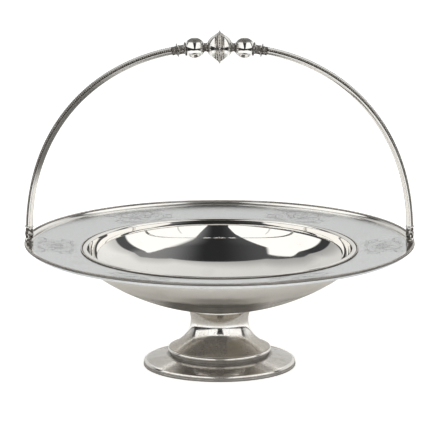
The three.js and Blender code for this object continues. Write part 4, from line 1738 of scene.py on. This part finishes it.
# The disc's edge is bevelled this far in and to the side, as shares of its half thickness
BEVEL_DEPTH = 0.5
BEVEL_WIDTH = 0.45


class DISH_OT_turnings(bpy.types.Operator):
    """Turns the necks, rings, spools, flanges and sockets that are threaded on the grip's core"""

    bl_idname = "dish.turnings"
    bl_label = "Grip turnings"

    hollow_steps = 16
    hollow_power = 4

    def waisted(self, mesh, radius, half, side):
        outline = Outline(mesh, radius, -half)
        for share, place in side:
            outline.to(share * radius, place * half)
        return outline

    def neck(self, mesh, sizes):
        half = (sizes.neck_length + sizes.seat_gap) / 2
        return self.waisted(mesh, sizes.neck_radius, half, NECK_SIDE)

    def ring(self, mesh, sizes):
        half = sizes.ring_length / 2
        outline = Outline(mesh, sizes.ring_radius - half, -half)
        return outline.arc(sizes.ring_radius - half, 0, math.pi, steps=12)

    def spool(self, mesh, sizes):
        half = sizes.spool_length / 2
        outline = Outline(mesh, sizes.spool_radius, -half)
        for i in range(1, self.hollow_steps):
            share = 2 * i / self.hollow_steps - 1
            hollow = (sizes.spool_radius - sizes.spool_waist) * (1 - share**self.hollow_power)
            outline.to(sizes.spool_radius - hollow, share * half)
        return outline.to(sizes.spool_radius, half)

    def flange(self, mesh, sizes):
        half = sizes.flange_length / 2
        outline = Outline(mesh, sizes.socket_radius, -half)
        outline.to(sizes.flange_radius - BEVEL_DEPTH * half, -BEVEL_WIDTH * half)
        outline.to(sizes.flange_radius, 0)
        outline.to(sizes.flange_radius - BEVEL_DEPTH * half, BEVEL_WIDTH * half)
        return outline.to(sizes.socket_radius, half)

    def socket(self, mesh, sizes):
        half = (sizes.socket_length + sizes.seat_gap) / 2
        return self.waisted(mesh, sizes.socket_radius, half, SOCKET_SIDE)

    def execute(self, context):
        sizes = context.scene.dish_grip
        places, _ = grip_layout()
        turnings = (
            ("neck", "neck_turning", "grip_neck", self.neck),
            ("ring", "ball_collar", "ball_ring", self.ring),
            ("spool", "spool_turning", "grip_spool", self.spool),
            ("flange", "flange_disc", "grip_flange", self.flange),
            ("socket", "socket_turning", "arm_socket", self.socket),
        )
        for key, name, node, draw in turnings:
            mesh = bmesh.new()
            bored(draw(mesh, sizes), sizes.bore)
            threaded(mesh, places[key])
            finish_pair(mesh, name, "handle", node, "handle_plate", spool_finish())
        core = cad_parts["grip_core"]
        core.data.materials.clear()
        core.data.materials.append(handle_finish())
        return {"FINISHED"}


# Stage

WHITE = (1, 1, 1)
DIM_LIGHT = (0.95, 0.97, 1.0)
BRIGHT_LIGHT = (1, 0.995, 0.97)
BEYOND_TABLE = (0.03, 0.03, 0.03)
HAIR = 0.001
EDGE_BLUR = 0.03

# The white cards beside the dish and the pale backdrop behind it, as shares of the distance to the side.
# A pair holds the left and the right value. The upright back edge of a card stands at its foot at the
# level of the dish, bows back with the height up to its knee, and leans from there.
KNEE_HEIGHT = 2
KNEE_ROUNDING = 0.2
CARD_FOOT = (0.2, 0.02)
CARD_BOW = 0.295
CARD_KNEE = (1.38, 1.24)
CARD_LEAN = (0.0, -0.35)
CARD_LOW = (0.12, 0.03)
CARD_TOP = (3.3, 3.7)
CARD_TOP_FADE = (2.95, 2.35)
CARD_FRONT = (7.65, 4.75)
CARD_FRONT_SLOPE = (0.43, 0.7)
CARD_FRONT_HEIGHT = (1.38, 0.83)
CARD_FRONT_END = (-7.6, -7.3)
DROP_FOOT = (0.45, 0.25)
DROP_BOW = 0.355
DROP_KNEE = (1.45, 1.42)
DROP_LEAN = 0.17
DROP_TOP = 2.29
DROP_TOP_FALL = 0.9
DROP_WIDTH = 0.62
# Directions of the thin seams in the cards and their half widths where they end and where they are full, in
# degrees from the back to the right, then the heights over which they fade, and how much light they take
CARD_SEAMS = (-135, 143)
SEAM_WIDTH = (1, 0.4)
SEAM_TOP = (0.56, 0.5)
SEAM_DEPTH = 0.4
CARD_LIGHT = 1.12
# The soft edges of a card at its lower end and its front, and of the backdrop at its top
CARD_LOW_BLUR = 0.05
CARD_FRONT_BLUR = 0.15
DROP_TOP_BLUR = 0.04


class StudioTree(NodeTree):
    """The world's tree, which says how bright the studio is in the direction of a ray."""

    def __init__(self, tree):
        super().__init__(tree)
        self.x, self.y, self.z = self.split(self.add("ShaderNodeTexCoord", output=0))
        self.on_right = self.ease(self.x, -HAIR, HAIR)
        self.beside = self.greater(abs(self.x), HAIR)
        self.behind = self.greater(self.y, HAIR)
        self.along = self.y / self.beside
        self.up = self.z / self.beside

    def sided(self, pair):
        """The first value on the left and the second on the right."""
        left, right = pair
        return self.on_right * (right - left) + left

    def bowed_edge(self, foot, bow, knee, lean):
        """Where an upright edge stands at the ray's height."""
        leaning = self.greater(self.up - KNEE_HEIGHT, 0) * lean + knee
        return self.maths("SMOOTH_MIN", self.up * self.up * bow + foot, leaning, KNEE_ROUNDING)

    def cards(self):
        """The white cards, each with a thin seam up to a height."""
        edge = self.bowed_edge(self.sided(CARD_FOOT), CARD_BOW, self.sided(CARD_KNEE), self.sided(CARD_LEAN))
        card = self.ease(edge - self.along, -EDGE_BLUR, EDGE_BLUR)
        card = card * self.ease(self.up - self.sided(CARD_LOW), 0, CARD_LOW_BLUR)
        card = card * self.ease(self.up, self.sided(CARD_TOP), self.sided(CARD_TOP_FADE))
        front = (self.along + self.sided(CARD_FRONT)) * self.sided(CARD_FRONT_SLOPE)
        front = front + self.sided(CARD_FRONT_HEIGHT)
        card = card * self.ease(front - self.up, -CARD_FRONT_BLUR, CARD_FRONT_BLUR)
        card = card * self.ease(self.along, *CARD_FRONT_END)
        azimuth = self.maths("DEGREES", self.maths("ARCTAN2", self.x, self.y))
        seams = sum(self.ease(abs(azimuth - seam), *SEAM_WIDTH) for seam in CARD_SEAMS)
        seams = seams * self.ease(self.z, *SEAM_TOP)
        return card * (1 - seams * SEAM_DEPTH) * CARD_LIGHT

    def backdrop(self):
        """The backdrop, dimmer towards its edges, most at the left, and brighter as a whole to the right."""
        across = self.maths("MINIMUM", self.beside / self.behind, DROP_WIDTH)
        edge = self.bowed_edge(self.sided(DROP_FOOT), DROP_BOW, self.sided(DROP_KNEE), DROP_LEAN)
        inside = self.along - edge
        below = DROP_TOP - across * across * DROP_TOP_FALL - self.z / self.behind
        drop = self.ease(inside, -EDGE_BLUR, EDGE_BLUR) * self.ease(below, -DROP_TOP_BLUR, DROP_TOP_BLUR)
        rightward = self.ease(self.x, -0.25, 0.25)
        depth = self.ease(self.maths("MINIMUM", inside, below), 0, 0.8 - rightward * 0.35)
        drop = drop * (depth * (0.42 - rightward * 0.12) + 0.58 + rightward * 0.12)
        return drop * (self.ease(self.x, 0, 0.7) * 0.14 - self.ease(self.x, 0, -0.3) * 0.04 + 0.74)

    def darkness(self):
        """What is neither card nor backdrop: nearly black, with a grey part on either side."""
        right = self.ease(self.x, 0.08, 0.36) * 0.22 - self.ease(self.x, 0.36, 0.7) * 0.16
        left = self.ease(self.x, 0, -0.28) * 0.06 - self.ease(self.x, -0.3, -0.6) * 0.04
        return right + 0.025 + left


class DISH_OT_stage(bpy.types.Operator):
    """Sets up the floor, the studio light all round and the camera"""

    bl_idname = "dish.stage"
    bl_label = "Stage"

    def floor(self, context):
        sizes = context.scene.dish_stage
        mesh = bmesh.new()
        bmesh.ops.create_grid(mesh, x_segments=1, y_segments=1, size=sizes.floor_size / 2)
        data = bpy.data.meshes.new("floor")
        mesh.to_mesh(data)
        mesh.free()
        material = bpy.data.materials.new("pale_floor_finish")
        material.use_nodes = True
        nodes = NodeTree(material.node_tree)
        camera_ray = nodes.add("ShaderNodeLightPath", output="Is Camera Ray")
        mirrored_ray = nodes.add("ShaderNodeLightPath", output="Is Glossy Ray")
        x, y, _ = nodes.split(nodes.add("ShaderNodeTexCoord", output=3))
        distance = nodes.maths("SQRT", x * x + y * y)
        # A painted shadow in the floor's colour round the foot, and a glow seen only in reflections that is
        # brighter further out, as painted light
        out_of_painted_shadow = nodes.ease(distance, sizes.shaded_near_floor, sizes.far_floor)
        pale = nodes.mix(out_of_painted_shadow, opaque(finishes().shaded_near_floor), opaque(finishes().floor))
        # Beyond the table the floor is painted nearly black for reflections, and a glow for camera rays
        # keeps it white in the picture
        front = nodes.ramp(x, -MM, MM, sizes.table_front_left, sizes.table_depth)
        ends = nodes.greater(y / sizes.table_depth, -y / front)
        beyond = nodes.ease(nodes.greater(abs(x) / sizes.table_width, ends), 0.98, 1.02)
        far = nodes.ease(distance, sizes.far_floor * 1.2, sizes.far_floor * 2)
        in_camera = 0.8 - out_of_painted_shadow * 0.14 + beyond * 0.5
        glow_in_reflections = (out_of_painted_shadow * 0.55 + 0.15) * (1 - far * 0.6) * (1 - beyond)
        inputs = {
            "Base Color": nodes.mix(beyond, pale, opaque(BEYOND_TABLE)),
            "Roughness": 1.0,
            "Specular IOR Level": 0.0,
            "Emission Color": opaque(WHITE),
            "Emission Strength": camera_ray * in_camera + mirrored_ray * glow_in_reflections,
        }
        surface = nodes.add("ShaderNodeBsdfPrincipled", None, inputs)
        nodes.add("ShaderNodeOutputMaterial", None, {"Surface": surface})
        data.materials.append(material)
        floor = bpy.data.objects.new("floor", data)
        context.scene.collection.objects.link(floor)
        floor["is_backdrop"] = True

    def studio(self, context):
        """Light from all directions: white cards left and right, a pale backdrop and a dark ceiling."""
        world = bpy.data.worlds.new("soft_studio")
        world.use_nodes = True
        context.scene.world = world
        nodes = StudioTree(world.node_tree)
        lit = nodes.greater(nodes.backdrop(), nodes.cards())
        level = nodes.greater(lit, nodes.darkness()) * nodes.ease(nodes.z, -0.03, 0.02)
        tint = nodes.mix(nodes.ease(level, 0.1, 0.4), opaque(DIM_LIGHT), opaque(BRIGHT_LIGHT))
        studio_light = nodes.add("ShaderNodeBackground", None, {"Color": tint, "Strength": level})
        white = nodes.add("ShaderNodeBackground", None, {"Color": opaque(WHITE), "Strength": 1.0})
        camera_ray = nodes.add("ShaderNodeLightPath", output="Is Camera Ray")
        shown = nodes.add("ShaderNodeMixShader", None, {0: camera_ray, 1: studio_light, 2: white})
        nodes.add("ShaderNodeOutputWorld", None, {"Surface": shown})

    def camera(self, context):
        sizes = context.scene.dish_stage
        data = bpy.data.cameras.new("photo_camera")
        data.sensor_width = 36
        data.lens = data.sensor_width * sizes.distance / sizes.frame_width
        data.clip_end = 100
        camera = bpy.data.objects.new("photo_camera", data)
        back = Vector((0, -math.cos(sizes.elevation), math.sin(sizes.elevation)))
        camera.location = Vector((-sizes.aim_across, 0, sizes.aim_height)) + back * sizes.distance
        camera.rotation_euler = (math.pi / 2 - sizes.elevation, 0, 0)
        context.scene.collection.objects.link(camera)
        context.scene.camera = camera

    def execute(self, context):
        self.floor(context)
        self.studio(context)
        self.camera(context)
        context.scene.view_settings.view_transform = "Standard"
        return {"FINISHED"}


SIZE_GROUPS = {
    "dish_rim": RimSizes,
    "dish_well": WellSizes,
    "dish_chasing": ChasingSizes,
    "dish_pedestal": PedestalSizes,
    "dish_hinge": HingeSizes,
    "dish_handle": HandleSizes,
    "dish_grip": GripSizes,
    "dish_finishes": Finishes,
    "dish_stage": StageSizes,
}

OPERATORS = (
    DISH_OT_bowl,
    DISH_OT_chasing,
    DISH_OT_border,
    DISH_OT_rim_beading,
    DISH_OT_mouth_wires,
    DISH_OT_stem,
    DISH_OT_foot,
    DISH_OT_lugs,
    DISH_OT_pins,
    DISH_OT_forks,
    DISH_OT_arms,
    DISH_OT_arm_beading,
    DISH_OT_balls,
    DISH_OT_ridge,
    DISH_OT_turnings,
    DISH_OT_stage,
)


class DISH_PT_panel(bpy.types.Panel):
    """Lists the pieces, their sizes and their colours"""

    bl_idname = "DISH_PT_panel"
    bl_label = "Footed dish"
    bl_space_type = "VIEW_3D"
    bl_region_type = "UI"
    bl_category = "Dish"

    def draw(self, context):
        for operator in OPERATORS:
            self.layout.operator(operator.bl_idname)
        for name in SIZE_GROUPS:
            group = getattr(context.scene, name)
            section = self.layout.box()
            section.label(text=name.replace("_", " ").capitalize())
            for size in group.bl_rna.properties.keys():
                if size not in ("rna_type", "name"):
                    section.prop(group, size)


def register():
    for name, group in SIZE_GROUPS.items():
        bpy.utils.register_class(group)
        setattr(bpy.types.Scene, name, bpy.props.PointerProperty(type=group))
    for operator in OPERATORS:
        bpy.utils.register_class(operator)
    bpy.utils.register_class(DISH_PT_panel)


def unregister():
    bpy.utils.unregister_class(DISH_PT_panel)
    for operator in reversed(OPERATORS):
        bpy.utils.unregister_class(operator)
    for name, group in reversed(SIZE_GROUPS.items()):
        delattr(bpy.types.Scene, name)
        bpy.utils.unregister_class(group)


def write_sizes():
    """Puts the solid model's box and the finished model's box in plain lists, which nothing keeps."""
    boxes = {"cad": cad_bounds, "visual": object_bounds()}
    plain = {name: [list(corner) for corner in box_corners] for name, box_corners in boxes.items()}


def main():
    register()
    for operator in OPERATORS:
        group, name = operator.bl_idname.split(".")
        getattr(getattr(bpy.ops, group), name)()
    write_sizes()


if __name__ == "__main__":
    main()
